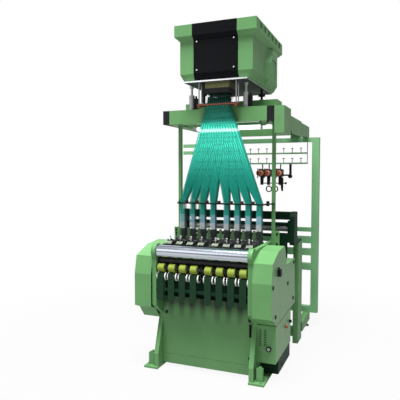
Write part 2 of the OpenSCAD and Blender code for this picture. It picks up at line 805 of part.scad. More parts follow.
// Copper guide board that gathers the cords in front of the beam, hung on four rods
module guide_board() from_panel() color("sienna") {
  span(harness_x - board_half, harness_x + board_half, harness_y - 40, harness_y + 42,
    board_z, board_z + board_t);
  for (side = [-1, 1]) {
    x = harness_x + side * (board_half - 14);
    rod_y(x, board_z - 10, 10, harness_y - 40, harness_y - 18);
    for (y = [-28, 30]) rod_z(x, harness_y + y, 5, board_z + board_t - 1, base_z);
  }
}

// Hook modules: a ribbed block over its black frame, with a hanger at the left
module hook_modules() from_panel() color("darkkhaki") {
  left = harness_x - gather_w / 2;
  right = harness_x + gather_w / 2;
  difference() {
    span(left, right, hook_front, hook_back, hook_z, base_z);
    for (i = [1:15]) translate([left + i * gather_w / 16 - 1.5, hook_front - 1, hook_z - 1])
      cube([3, 7, hook_h - 5]);
  }
  span(left - 3, right + 3, hook_front - 2, hook_back + 2, hook_z - hook_frame_h, hook_z);
  span(left - 34, left - 8, hook_front + 10, hook_front + 60, hook_z - 50, base_z);
  span(left - 30, left - 12, hook_front + 14, hook_front + 40, hook_z - 112, hook_z - 49);
}

// Columns on the side frames, each with its bracket plate
module gantry_columns() from_panel() color("mediumseagreen") pair() {
  closed_tube(frame_out, frame_out + column_w, column_y, column_y + column_d, column_low, beam_z, 4);
  difference() {
    span(frame_out + column_w, frame_out + column_w + 40, column_y, column_y + 8, 952, 1080);
    for (z = bracket_bolt_z)
      rod_y(frame_out + column_w + 22, z, bolt_r + 0.2, column_y - 1, column_y + 9);
  }
}

module front_beam() from_panel() color("mediumseagreen")
  closed_tube(gantry_x - beam_half + cap_w, gantry_x + beam_half - cap_w, beam_front, beam_back,
    beam_z, beam_top, beam_wall);

module beam_caps() from_panel() color("black") for (side = [-1, 1])
  translate([gantry_x + side * (beam_half - cap_w / 2) - cap_w / 2, beam_front, beam_z])
    cube([cap_w, beam_d, beam_h]);

// Side beams from the front beam to the creel, with two stands and the tie between them
module side_beams() from_panel() color("mediumseagreen") {
  for (side = [-1, 1]) translate([gantry_x + side * (side_in + side_beam_w / 2), 0, 0]) {
    closed_tube(-side_beam_w / 2, side_beam_w / 2, beam_back, side_back, beam_z, side_top, beam_wall);
    span(-side_beam_w / 2, side_beam_w / 2, creel_y, side_back, creel_top, beam_z);
  }
  closed_tube(gantry_x - side_in, gantry_x + side_in, creel_y, side_back, creel_top + 32,
    creel_top + 32 + side_tie_h, beam_wall);
}

module rear_beam() from_panel() color("seagreen") {
  closed_tube(gantry_x - side_in - rear_beam_over, gantry_x + side_in + rear_beam_over, rear_beam_front,
    rear_beam_front + rear_beam_d, side_top, rear_beam_top, beam_wall);
  for (side = [-1, 1]) difference() {
    rod_z(side * rear_jack_x, rear_jack_y, 22, rear_beam_top, rear_beam_top + nut_h);
    rod_z(side * rear_jack_x, rear_jack_y, stem_r + fit, rear_beam_top, rear_beam_top + nut_h + 1);
  }
}

// Front jacks: a steel cylinder with a slim rod, and a black lock beside it
module front_jacks() from_panel() color("silver") for (side = [-1, 1])
  translate([gantry_x + side * jack_x, beam_front + beam_d / 2, 0]) {
    rod_z(0, 0, jack_r, beam_top, beam_top + jack_h);
    rod_z(0, 0, jack_r * 0.42, beam_top + jack_h - 1, base_z - 18);
    rod_z(0, 0, jack_r * 0.75, base_z - 19, base_z);
    span(jack_r - 2, jack_r + 30, -14, 14, beam_top, beam_top + 98);
    span(jack_r + 10, jack_r + 22, -8, 8, beam_top + 97, beam_top + 118);
  }

// Rear jacks: a threaded stem with a star grip
module star_jack(side) translate([side * rear_jack_x, rear_jack_y, 0]) {
  low = rear_beam_top;
  rod_z(0, 0, stem_r, low + 0.3, base_z - 0.3);
  rod_z(0, 0, 24, low + 42, low + 66);
  for (a = [0:60:300]) rotate(a) rod_z(23, 0, 8, low + 43, low + 65);
}

module left_rear_jack() from_panel() color("black") star_jack(-1);

module right_rear_jack() from_panel() color("black") star_jack(1);

// Drive gearbox beside the gantry and the long shaft housing behind it
module drive_gearbox() from_panel() color("mediumseagreen") {
  gx = gantry_x + beam_half;
  back = creel_y + 42;
  slit = creel_y - 390;
  span(gx, gx + 80, beam_front, beam_front + 255, beam_z - 99, beam_top - 3);
  difference() {
    span(gx + 26, gx + 80, beam_front + 254, back, creel_top, creel_top + 107);
    span(gx + 79, gx + 81, slit, slit + 12, creel_top + 34, creel_top + 96);
    span(gx + 79, gx + 81, slit - 18, slit + 30, creel_top + 88, creel_top + 96);
  }
  for (z = [30, 70]) {
    rod_y(gx + 62, creel_top + z, 6, back - 1, back + 14);
    rod_y(gx + 62, creel_top + z, 15, back + 12, back + 32);
  }
  rod_x(beam_front + 340, creel_top - 16, 20, gx + 34, gx + 66);
}

// Work lamp behind the harness: a tube in two holders under its rail
module lamp() from_panel() color("white") {
  span(gantry_x - side_in, gantry_x + side_in, 585, 615, beam_z + 4, beam_z + 22);
  for (x = [gantry_x - 330, gantry_x + 290]) span(x, x + 16, 586, 614, beam_z - 38, beam_z + 4);
  rod_x(600, beam_z - 18, 17, gantry_x - 316, gantry_x + 292);
}

module head_base_plate() from_panel() color("gainsboro")
  span(-plate_half, plate_half, head_mid - foot_back - 42, head_mid + foot_back - 4, base_z, head_z);

// Head body: chamfered foot, upright walls and a raised panel at the rear of each side
module body_form(in) {
  taper(0, head_mid, head_z + in, foot_half - in, foot_back - in,
    head_z + chamfer_h, head_half - in, body_back - in);
  translate([-head_half + in, head_mid - body_back + in, head_z + chamfer_h - 0.01])
    cube([2 * (head_half - in), 2 * (body_back - in), head_h + 0.01 + in * 10]);
}

// One stage of the raised panel: a bevelled slab between two heights, shifted back at its top
module bulge_stage(z0, shift0, z1, shift1) hull() for (end = [[z0, shift0], [z1, shift1]]) {
  translate([head_half - 6, bulge_base[0] + end[1], end[0]])
    cube([6, bulge_base[1] - bulge_base[0] - end[1], 0.02]);
  translate([head_half, bulge_face[0] + end[1], end[0]])
    cube([bulge_t, bulge_face[1] - bulge_face[0] - end[1], 0.02]);
}

module bulge() {
  bulge_stage(head_z + chamfer_h, 0, 2495, 0);
  bulge_stage(2495, 0, 2575, 84);
  bulge_stage(2575, 84, body_top - 0.02, 84);
  hull() {
    translate([head_half - 6, bulge_base[0], head_z + chamfer_h])
      cube([6, bulge_base[1] - bulge_base[0], 0.02]);
    translate([head_half, bulge_face[0], head_z + chamfer_h])
      cube([bulge_t, bulge_face[1] - bulge_face[0], 0.02]);
    translate([head_half - 28, bulge_face[0], head_z + 16])
      cube([6, bulge_face[1] - bulge_face[0], 0.02]);
  }
}

module head_body() from_panel() color("mediumseagreen") difference() {
  union() {
    body_form(0);
    pair() bulge();
  }
  intersection() {
    body_form(head_wall);
    span(-lid_half, lid_half, 0, 1200, head_z, body_top + 1);
  }
  pair() span(head_half + bulge_t - 6, lid_half + 10, 712, 832, head_z + chamfer_h + 8, body_top - 84);
}

// Head lid: flared skirt, straight side with pockets and a flat top
module lid_form(in) {
  taper(0, head_mid, body_top, head_half - in, body_back - in,
    lid_z, lid_half - in, lid_back - in);
  translate([-lid_half + in, head_mid - lid_back + in, lid_z - 0.01])
    cube([2 * (lid_half - in), 2 * (lid_back - in), lid_h + 0.01 - in]);
}

// One pocket in the lid's side, grown by a margin
module pocket(i, more) translate([0, pocket_first + i * pocket_pitch, 0])
  span(lid_half - pocket_t - more, lid_half + 1, -more, pocket_w + more, lid_top - 62 - more,
    lid_top - 12 + more);

module head_lid() from_panel() color("mediumseagreen") difference() {
  lid_form(0);
  difference() {
    lid_form(head_wall);
    pair() for (i = [0:5]) pocket(i, head_wall);
  }
  pair() for (i = [0:5]) pocket(i, 0);
}

// Black band down the head's front, with its inset plate
band_t = 3;
band_gap = 0.1;
inset_t = 4;
inset_y = head_mid - body_back - band_t - inset_t;
inset_screws = [for (x = [-1, 1]) for (z = [head_z + chamfer_h + 27, body_top - 11]) [x * inset_screw[0], z]];
front_line = [[head_mid - foot_back, head_z], [head_mid - body_back, head_z + chamfer_h],
  [head_mid - body_back, body_top], [head_mid - lid_back, lid_z], [head_mid - lid_back, lid_top]];

module head_front_band() from_panel() color("black") {
  along_x(-band_half, band_half) polygon(concat([for (p = front_line) p - [band_gap, 0]],
    [for (i = [4:-1:0]) front_line[i] - [band_t, 0]]));
  difference() {
    span(-band_half + 5, band_half - 5, inset_y, inset_y + inset_t, head_z + chamfer_h + 3, body_top - 1);
    for (p = inset_screws) rod_y(p[0], p[1], bolt_r + 0.2, inset_y - 1, inset_y + inset_t);
  }
}

// Let-off unit: end plates, top channel, two fixed guide bars and the brackets to the base
module letoff_frame() from_panel() color("darkgreen") {
  pair() difference() {
    along_x(rear_in, rear_in + rear_w - 6) polygon([
      [letoff_front, rear_top + 20], [letoff_front, letoff_top - 40],
      [letoff_front + 28, letoff_top], [letoff_back - 12, letoff_top], [letoff_back, letoff_top - 16],
      [letoff_back, rear_top + 50], [letoff_back + 30, rear_top + 20], [rear_front + rear_d, rear_top + 20],
      [rear_front + rear_d, rear_top], [rear_front, rear_top], [letoff_front + 20, rear_top]]);
    rod_x(letoff_y, letoff_z, letoff_journal + fit, rear_in - 1, rear_in + 30);
  }
  difference() {
    span(-rear_in, rear_in, letoff_front + 50, letoff_back - 8, 1145, letoff_top - 4);
    span(-rear_in - 1, rear_in + 1, letoff_front + 54, letoff_back - 12, 1144, letoff_top - 8);
  }
  rod_x(letoff_front + 36, 1108, 16, -rear_in, rear_in);
  rod_x(letoff_front + 36, 1008, 14, -rear_in, rear_in);
  pair() {
    span(frame_out, rear_in - 13, letoff_front - 24, letoff_front - 12, 820, 1035);
    span(frame_out, rear_in + rear_w - 6, letoff_front - 12, letoff_front, 950, 1035);
    span(rear_in - 20, rear_in, letoff_front + 14, letoff_front + 74, 958, 1138);
  }
}

module letoff_roller() from_panel() color("silver") {
  rod_x(letoff_y, letoff_z, letoff_r, -rear_in + 20 + side_gap, rear_in - 20 - side_gap);
  rod_x(letoff_y, letoff_z, letoff_journal, -rear_in - 28, rear_in + 28);
}

// Rear posts and the floor beams that join them to the base
module rear_posts() from_panel() color("darkgreen") {
  pair() {
    tube_z(rear_in, rear_in + rear_w, rear_front, rear_front + rear_d, 0, rear_top, beam_wall);
    tube_y(frame_in, frame_out, frame_back, rear_front + 10, floor_beam_z, floor_beam_z + floor_beam_h, 4);
    tube_y(rear_in, rear_in + 58, rear_front + rear_d, creel_y + creel_d + 20, floor_beam_z, creel_low,
      beam_wall);
  }
  closed_tube(-rear_in, rear_in, rear_front + 10, rear_front + 10 + tie_size, floor_beam_z,
    floor_beam_z + floor_beam_h, beam_wall);
}

// Creel: two posts, the cross bars and the levelling feet
module creel_frame() from_panel() color("mediumseagreen") {
  back = creel_y + creel_d;
  pair() {
    closed_tube(creel_in, creel_in + post_w, creel_y, back, creel_low, creel_top, beam_wall);
    rod_z(rear_in + 30, creel_y + 40, 28, 0, 12);
    rod_z(rear_in + 30, creel_y + 40, 8, 11, 60);
  }
  closed_tube(-creel_in, creel_in, creel_y, back, creel_top - 43, creel_top, beam_wall);
  closed_tube(-creel_in, creel_in, creel_y, back, creel_low, creel_low + 61, beam_wall);
  for (z = [581, 730, 853]) closed_tube(-creel_in, creel_in, creel_y, back, z, z + 66, beam_wall);
  closed_tube(-creel_in, creel_in, creel_y, back, 970, 1010, beam_wall);
  for (z = [1764, 1840]) closed_tube(-creel_in - post_w - 183, -creel_in - post_w, creel_y + 10,
    back - 10, z, z + 36, 4);
}

// Yarn rails hung under the creel's top, with their thread guides
module yarn_rails() from_panel() color("darkseagreen") {
  mid = feeder_mid;
  for (z = [rail_low, rail_high]) {
    span(-rail_end, rail_end, mid - 7, mid + 7, z, z + 16);
    for (i = [-5:5]) translate([i * guide_pitch + 22, mid, z]) {
      rod_z(0, 0, 4, 15, 56);
      span(-12, 12, -5, 5, 55, 62);
    }
  }
  for (x = [-rail_end + 4, rail_end - 4]) rod_z(x, mid, 4, rail_high + 15, creel_top - 43);
  for (x = [-rail_end + 4, rail_end - 4]) rod_z(x, mid, 4, rail_low + 15, rail_high + 1);
}

// Weft feeders: black bodies on stems under the lower yarn rail, each with a thread arm and a
// brake, the bar that joins the brakes, and the tension arm at the right
module feeder_bodies() from_panel() color("black") {
  mid = feeder_mid;
  low = feeder_z - feeder_arm;
  for (x = feeder_at) difference() {
    union() {
      rod_z(x, mid, 6, feeder_z + 37, rail_low);
      span(x - 26, x + 26, mid - 60, mid + 30, feeder_z - 38, feeder_z + 38);
      span(x - 4, x + 4, mid - 200, mid - 58, feeder_z + drum_r + 6, feeder_z + drum_r + 12);
      span(x - 4, x + 4, mid - 60, mid - 50, feeder_z + 37, feeder_z + drum_r + 12);
      span(x - 4, x + 4, mid - 200, mid - 192, feeder_z - 50, feeder_z + drum_r + 12);
      along_x(x - 14, x + 14) polygon([[mid - 40, feeder_z - 37], [mid - 34, low - 22],
        [mid - 16, low - 22], [mid + 4, feeder_z - 37]]);
    }
    rod_y(x, feeder_z, 8 + fit, mid - 62, mid - 20);
  }
  rod_x(mid - 26, low - 4, 5, feeder_at[0] - 10, feeder_at[2] + 66);
  rod_x(mid - 26, low - 4, 11, feeder_at[2] + 52, feeder_at[2] + 68);
  for (x = [feeder_at[0] + 75, feeder_at[1] + 69]) {
    rod_z(x, mid - 26, 5, low - 36, low - 4);
    translate([x, mid - 26, low - 64]) rotate([90, 0, 0]) difference() {
      cylinder(r = 33, h = 12, center = true);
      cylinder(r = 23, h = 14, center = true);
    }
  }
  hull() {
    rod_y(feeder_at[2] + 20, low + 40, 18, mid - 44, mid - 34);
    rod_y(feeder_at[2] + 26, low - 76, 9, mid - 44, mid - 34);
  }
  span(feeder_at[2] + 90, feeder_at[2] + 112, mid - 10, mid + 10, feeder_z - 36, rail_low);
  rod_y(feeder_at[2] + 101, feeder_z - 34, 19, mid - 30, mid + 10);
  span(feeder_at[2] + 25, feeder_at[2] + 91, mid - 8, mid + 8, feeder_z - 30, feeder_z - 14);
}

// One winding drum: a flange, a waist and a rounded nose
module feeder_drum(x) {
  mid = feeder_mid;
  rod_y(x, feeder_z, 8, mid - 74, mid - 22);
  translate([x, mid - 60 - side_gap, feeder_z]) rotate([90, 0, 0]) rotate_extrude()
    polygon([[0, 0], [24, 0], [24, 12], [drum_r, 14], [drum_r, 22], [drum_r - 8, 24], [drum_r - 12, 80],
      [drum_r - 4, 88], [drum_r - 4, 94], [drum_r - 14, 104], [0, 108]]);
}

module feeder_drum_1() from_panel() color("orangered") feeder_drum(feeder_at[0]);

module feeder_drum_2() from_panel() color("orangered") feeder_drum(feeder_at[1]);

module feeder_drum_3() from_panel() color("orangered") feeder_drum(feeder_at[2]);

left_side_frame();
right_side_frame();
front_panel();
kick_plate();
fasteners();
tie_beams();
inner_panels();
left_side_cover();
right_side_cover();
control_box();
box_plinth();
box_door();
main_switch();
stop_button();
door_lock();
take_down_roller();
press_roller();
nip_rollers();
guide_spools();
guide_plates();
plate_bar();
weaving_rails();
fabric_guides();
weft_heads();
needle_bar();
reed_batten();
warp_guides();
main_shaft();
motor();
motor_rotor();
drive_belt();
start_lever();
comber_board();
harness_cords();
heddle_drops();
guide_board();
hook_modules();
gantry_columns();
front_beam();
beam_caps();
side_beams();
rear_beam();
front_jacks();
left_rear_jack();
right_rear_jack();
drive_gearbox();
lamp();
head_base_plate();
head_body();
head_lid();
head_front_band();
letoff_frame();
letoff_roller();
rear_posts();
creel_frame();
yarn_rails();
feeder_bodies();
feeder_drum_1();
feeder_drum_2();
feeder_drum_3();
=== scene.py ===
# Looks of the narrow fabric needle loom: paints, steels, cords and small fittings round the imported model.
import bmesh
import bpy
import math
import random
from mathutils import Matrix, Vector


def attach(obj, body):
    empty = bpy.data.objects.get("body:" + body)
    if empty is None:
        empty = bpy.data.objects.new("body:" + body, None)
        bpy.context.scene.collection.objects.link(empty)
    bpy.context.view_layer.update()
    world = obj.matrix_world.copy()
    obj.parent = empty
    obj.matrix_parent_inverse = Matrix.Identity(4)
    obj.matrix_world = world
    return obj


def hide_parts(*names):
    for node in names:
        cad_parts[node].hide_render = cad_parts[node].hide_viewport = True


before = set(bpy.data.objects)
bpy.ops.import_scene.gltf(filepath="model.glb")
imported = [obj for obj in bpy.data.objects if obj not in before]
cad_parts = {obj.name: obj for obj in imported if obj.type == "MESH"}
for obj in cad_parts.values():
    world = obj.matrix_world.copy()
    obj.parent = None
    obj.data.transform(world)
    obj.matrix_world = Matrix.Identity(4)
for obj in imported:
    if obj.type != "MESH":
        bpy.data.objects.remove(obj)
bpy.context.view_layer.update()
print("frame loaded:", len(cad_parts), "nodes")

# Shared places: the front panel's outer face, from which depths are measured, and the weaving heads
panelY = -0.288
heads = {"first": 0.059, "pitch": 0.0915, "perSide": 4, "sideways": 0.014}
headAt = sorted(side * (heads["first"] + i * heads["pitch"]) + heads["sideways"]
                for side in (-1, 1) for i in range(heads["perSide"]))


# Shader maths: a wire wraps one socket, and an expression on wires adds its nodes
class Wire:
    def __init__(self, nodes, socket):
        self.nodes, self.socket = nodes, socket

    def math(self, operation, other=None, swap=False):
        pair = [other, self] if swap else [self, other]
        return self.nodes.node("ShaderNodeMath", {"operation": operation},
                               {i: v for i, v in enumerate(pair) if v is not None})

    def __add__(self, other): return self.math("ADD", other)
    def __radd__(self, other): return self.math("ADD", other, True)
    def __sub__(self, other): return self.math("SUBTRACT", other)
    def __rsub__(self, other): return self.math("SUBTRACT", other, True)
    def __mul__(self, other): return self.math("MULTIPLY", other)
    def __rmul__(self, other): return self.math("MULTIPLY", other, True)
    def above(self, other): return self.math("GREATER_THAN", other)
    def below(self, other): return self.math("LESS_THAN", other)
    def atMost(self, other): return self.math("MINIMUM", other)
    def atLeast(self, other): return self.math("MAXIMUM", other)
    def size(self): return self.math("ABSOLUTE")
    def wave(self): return self.math("SINE")
    def clip(self): return self.atLeast(0.0).atMost(1.0)

    def step(self, low, high):
        return self.nodes.node("ShaderNodeMapRange", {"interpolation_type": "SMOOTHSTEP"},
                               {0: self, 1: low, 2: high, 3: 0.0, 4: 1.0})


# One node tree: its one way to add a node, and what feeds a socket
class Nodes:
    def __init__(self, tree):
        self.tree = tree

    def node(self, kind, settings=None, sockets=None, out=0):
        made = self.tree.nodes.new(kind)
        for key, value in (settings or {}).items():
            setattr(made, key, value)
        for key, value in (sockets or {}).items():
            self.feed(made.inputs[key], value)
        return Wire(self, made.outputs[out])

    def feed(self, socket, value):
        if isinstance(value, Wire):
            self.tree.links.new(value.socket, socket)
        else:
            socket.default_value = value


# A material: its coordinates, its patterns and its surface
class Finish(Nodes):
    def __init__(self, name):
        self.material = bpy.data.materials.new(name)
        self.material.use_nodes = True
        super().__init__(self.material.node_tree)
        self.shader = self.tree.nodes["Principled BSDF"]
        self.place = self.node("ShaderNodeTexCoord", out="Object")

    def set(self, **values):
        names = {"color": "Base Color", "rough": "Roughness", "metal": "Metallic", "coat": "Coat Weight",
                 "coatRough": "Coat Roughness", "spec": "Specular IOR Level", "glow": "Emission Color",
                 "glowPower": "Emission Strength", "normal": "Normal"}
        for key, value in values.items():
            self.feed(self.shader.inputs[names[key]], value)
        return self.material

    def axis(self, letter):
        return self.node("ShaderNodeSeparateXYZ", sockets={0: self.place}, out="XYZ".index(letter))

    def reach(self, letters, centre):  # distance from a line that runs along the third axis
        first, second = [self.axis(letter) - value for letter, value in zip(letters, centre)]
        return (first * first + second * second).math("SQRT")

    def noise(self, scale, detail=3.0, rough=0.5, stretch=None):
        place = self.place
        if stretch:
            place = self.node("ShaderNodeMapping", sockets={"Vector": place, "Scale": stretch})
        return self.node("ShaderNodeTexNoise", {}, {"Vector": place, "Scale": scale, "Detail": detail,
                                                    "Roughness": rough}, out="Fac")

    def blend(self, share, first, second, mode="MIX"):
        first, second = [v if isinstance(v, Wire) else (*v, 1.0) for v in (first, second)]
        return self.node("ShaderNodeMix", {"data_type": "RGBA", "blend_type": mode},
                         {0: share, 6: first, 7: second}, out=2)

    def bump(self, height, strength, distance):
        return self.node("ShaderNodeBump", {}, {"Height": height, "Strength": strength,
                                                "Distance": distance}, out="Normal")


def shade(color, factor):
    return tuple(min(1.0, c * factor) for c in color)


def between(wire, low, high):
    return wire.above(low) * wire.below(high)


# Machine paint: even colour with faint clouds, dust near the floor, small chips and an orange peel
paintLook = {"rough": 0.33, "roughSpread": 0.10, "fine": 260.0, "spec": 0.22, "coatRough": 0.18,
             "cloudSize": 2.6, "cloudFrom": 0.35, "cloudGain": 2.2, "clouds": 0.10,
             "dust": 0.06, "dustSize": 9.0, "dustTop": 0.30, "dustRough": 0.35, "dustColor": (0.50, 0.52, 0.44),
             "chips": 0.735, "chipSize": 38.0, "chipEdge": 0.76, "chipRough": 0.2,
             "chipColor": (0.10, 0.12, 0.10), "stainedAndShaded": 0.08,
             "peel": 0.10, "peelFine": 420.0, "peelWide": 120.0, "peelShare": 0.7, "peelDepth": 0.0006}


def machinePaint(name, color, rough=paintLook["rough"], chips=paintLook["chips"], coat=0.0,
                 spec=paintLook["spec"], dust=paintLook["dust"], stainAndShade=None):
    f, look = Finish(name), paintLook
    clouds = f.noise(look["cloudSize"], 4.0)
    fine = f.noise(look["fine"], 2.0)
    body = f.blend((clouds - look["cloudFrom"]) * look["cloudGain"], shade(color, 1 - look["clouds"]),
                   shade(color, 1 + look["clouds"]))
    low = 1 - f.axis("Z").step(0.0, look["dustTop"])
    dusty = (low * f.noise(look["dustSize"], 5.0) * dust).clip()
    body = f.blend(dusty, body, look["dustColor"])
    spots = f.noise(look["chipSize"], 6.0, 0.62).step(chips, look["chipEdge"])
    body = f.blend(spots, body, look["chipColor"])
    # the stainAndShade mask darkens the paint; on the front panel it carries painted shade and painted
    # reflection
    if stainAndShade:
        body = f.blend(stainAndShade(f), body, shade(color, look["stainedAndShaded"]))
    peel = (f.noise(look["peelFine"], 2.0) * look["peelShare"]
            + f.noise(look["peelWide"], 2.0) * (1 - look["peelShare"]))
    dull = rough + (fine - 0.5) * look["roughSpread"] + dusty * look["dustRough"] + spots * look["chipRough"]
    return f.set(color=body, rough=dull.clip(), coat=coat, coatRough=look["coatRough"], spec=spec,
                 normal=f.bump(peel, look["peel"], look["peelDepth"]))


# Plastic: a fine grain, and clouds that shift its colour and gloss a little
plasticLook = {"clouds": 7.0, "spread": 0.14, "grainRough": 0.16, "cloudRough": 0.08, "depth": 0.0004}


def plainPlastic(name, color, rough, grain=900.0, relief=0.12, spec=0.22):
    f, look = Finish(name), plasticLook
    fine = f.noise(grain, 2.0)
    clouds = f.noise(look["clouds"], 3.0)
    body = f.blend(clouds, shade(color, 1 - look["spread"]), shade(color, 1 + look["spread"]))
    dull = rough + (fine - 0.5) * look["grainRough"] + (clouds - 0.5) * look["cloudRough"]
    return f.set(color=body, rough=dull.clip(), spec=spec, normal=f.bump(fine, relief, look["depth"]))


# Ground and drawn steels: fine lines along the width of the loom, with faint stains
steelLook = {"stretch": (0.012, 1.0, 1.0), "fine": 900.0, "wide": 60.0, "dark": 0.72, "light": 1.18,
             "stainAndShade": (0.52, 0.75), "stains": 0.15, "stainedAndShaded": 0.45, "lineRough": 0.22, "stainRough": 0.10,
             "relief": 0.10, "depth": 0.0003}


def linedSteel(name, color, rough):
    f, look = Finish(name), steelLook
    lines = f.noise(look["fine"], 3.0, 0.6, look["stretch"])
    wide = f.noise(look["wide"], 3.0, 0.5, look["stretch"])
    stainAndShade = f.noise(6.0, 5.0, 0.6)
    body = f.blend(lines * 0.5 + wide * 0.5, shade(color, look["dark"]), shade(color, look["light"]))
    body = f.blend(stainAndShade.step(*look["stainAndShade"]) * look["stains"], body, shade(color, look["stainedAndShaded"]))
    dull = rough + (lines - 0.5) * look["lineRough"] + stainAndShade * look["stainRough"]
    return f.set(color=body, rough=dull.clip(), metal=1.0,
                 normal=f.bump(lines, look["relief"], look["depth"]))


# Colour, roughness and metal share of the looks that nodes of two looks are made from
tones = {"black": ((0.006, 0.0065, 0.007), 0.46, 0.0), "steel": ((0.40, 0.42, 0.44), 0.32, 1.0),
         "bright": ((0.62, 0.64, 0.66), 0.26, 1.0), "shaft": ((0.030, 0.034, 0.034), 0.35, 0.6),
         "white": ((0.78, 0.79, 0.77), 0.36, 0.0), "green": ((0.140, 0.305, 0.128), 0.36, 0.0),
         "darkRed": ((0.085, 0.022, 0.016), 0.45, 0.0), "orange": ((0.50, 0.12, 0.05), 0.34, 0.0),
         "cream": ((0.62, 0.48, 0.38), 0.42, 0.0), "copper": ((0.15, 0.050, 0.034), 0.45, 0.0),
         "olive": ((0.115, 0.115, 0.050), 0.5, 0.0), "bone": ((0.38, 0.45, 0.34), 0.5, 0.0),
         # under: painted shade for the base plate's underside
         "under": ((0.030, 0.045, 0.036), 0.5, 0.0), "silver": ((0.56, 0.59, 0.58), 0.30, 0.3),
         "paleGreen": ((0.23, 0.43, 0.25), 0.4, 0.0)}

# Moulded rubber of the rollers: soft sheen, fibre dust and fine turning marks, with a shaft through it
rubberLook = {"turning": 5200.0, "dust": (0.58, 0.8), "dustShare": 0.35, "dustColor": (0.72, 0.72, 0.62),
              "dark": 0.78, "light": 1.12, "dustRough": 0.2, "ringRough": 0.05, "spec": 0.3,
              "ringShare": 0.4, "relief": 0.18, "depth": 0.0004}


def mouldedRubber(name, color, rough, shaft=None):
    f, look = Finish(name), rubberLook
    rings = (f.axis("X") * look["turning"]).wave() * 0.5 + 0.5
    dust = f.noise(140.0, 4.0, 0.65).step(*look["dust"])
    body = f.blend(f.noise(24.0, 3.0), shade(color, look["dark"]), shade(color, look["light"]))
    body = f.blend(dust * look["dustShare"], body, look["dustColor"])
    if shaft:
        middle, radius = shaft
        body = f.blend(f.reach("YZ", middle).below(radius), body, tones["shaft"][0])
    height = rings * look["ringShare"] + f.noise(800.0, 2.0) * (1 - look["ringShare"])
    return f.set(color=body, rough=(rough + dust * look["dustRough"] - rings * look["ringRough"]).clip(),
                 spec=look["spec"], normal=f.bump(height, look["relief"], look["depth"]))


# Two looks on one node, told apart by a mask from its place
toneLook = {"clouds": 9.0, "lowerSpread": 0.16, "upperSpread": 0.14, "grainRough": 0.14, "spec": 0.16,
            "relief": 0.12, "depth": 0.0004}


def twoTone(name, mask, lower, upper, grain=900.0):
    f, look = Finish(name), toneLook
    share = mask(f)
    fine = f.noise(grain, 2.0)
    clouds = f.noise(look["clouds"], 3.0)
    (color0, rough0, metal0), (color1, rough1, metal1) = tones[lower], tones[upper]
    body = f.blend(
        share,
        f.blend(clouds, shade(color0, 1 - look["lowerSpread"]), shade(color0, 1 + look["lowerSpread"])),
        f.blend(clouds, shade(color1, 1 - look["upperSpread"]), shade(color1, 1 + look["upperSpread"])))
    metal = metal0 if metal0 == metal1 else (share * (metal1 - metal0) + metal0).clip()
    dull = share * (rough1 - rough0) + rough0 + (fine - 0.5) * look["grainRough"]
    return f.set(color=body, rough=dull.clip(), metal=metal, spec=look["spec"],
                 normal=f.bump(fine, look["relief"], look["depth"]))


# Where the two looks of a node meet, in metres of the frame
meets = {"plateTop": 2.2895, "nipShaft": ((-0.380, 0.818), 0.0146), "spoolAxis": (-0.372, 0.750),
         "spoolShaft": 0.0225, "weftFront": -0.206, "weftStalks": 1.0128, "combSlope": 0.6364,
         "combFace": 1.1834, "combY": (-0.298, -0.271), "hookX": -0.0862, "hookZ": 2.2352,
         "jacks": (0.251, -0.225), "jackSleeve": 0.0172, "boardTop": 2.1125, "comberFront": -0.0442,
         "switchAxis": (0.499, 0.246), "switchRing": (0.0042, 0.0112), "stopAxis": (0.061, 0.323),
         "stopCap": 0.0118, "bandLow": 2.3, "bandMiddle": 2.5, "screwX": 0.157, "screwZ": 0.113,
         "screwSquare": 0.00003, "gearRear": 1.1742, "gearFront": 0.2578, "gearLow": 1.9119,
         "railLow": (1.7045, 1.7125), "railHigh": (1.8065, 1.815), "drumY": (1.020, 1.078)}


def headScrews(f):
    x = f.axis("X").size() - meets["screwX"]
    z = (f.axis("Z") - meets["bandMiddle"]).size() - meets["screwZ"]
    return f.axis("Z").above(meets["bandLow"]) * (x * x + z * z).below(meets["screwSquare"])


def jackSleeves(f):
    first, second = [(f.axis("X") - x).size().below(meets["jackSleeve"]) for x in meets["jacks"]]
    return first.atLeast(second)


def combFaces(f):
    slope = f.axis("Z") - f.axis("Y") * meets["combSlope"]
    return slope.above(meets["combFace"]) * between(f.axis("Y"), *meets["combY"])


def gearCaps(f):
    low = f.axis("Y").above(meets["gearFront"]) * f.axis("Z").below(meets["gearLow"])
    return f.axis("Y").above(meets["gearRear"]).atLeast(low)


def railStripes(f):
    return between(f.axis("Z"), *meets["railLow"]).atLeast(between(f.axis("Z"), *meets["railHigh"]))


# Painted shade and painted reflection high on the front panel: a darker top, painted shade under the overhang,
# and one painted reflection band under each guide plate
panelShadeLook = {"middle": 0.035, "width": (0.010, 0.034), "wander": 0.05, "top": (0.46, 0.56), "topShadeShare": 0.76,
            "streaks": (0.36, 0.50), "reflectionShare": 0.46}


def paintedPanelShade(f):
    look = panelShadeLook
    aside = (f.axis("X") - look["middle"]).size()
    bands = 0.0
    for i in range(heads["perSide"]):
        middle = heads["first"] + i * heads["pitch"]
        # one painted reflection band under each guide plate
        bands = (1 - (aside - middle).size().step(*look["width"])) + bands
    height = f.axis("Z") + (f.noise(14.0, 3.0) - 0.5) * look["wander"]
    # painted shade towards the top, and the painted reflection bands reaching lower down
    return (height.step(*look["top"]) * look["topShadeShare"]
            + height.step(*look["streaks"]) * bands * look["reflectionShare"]).clip()


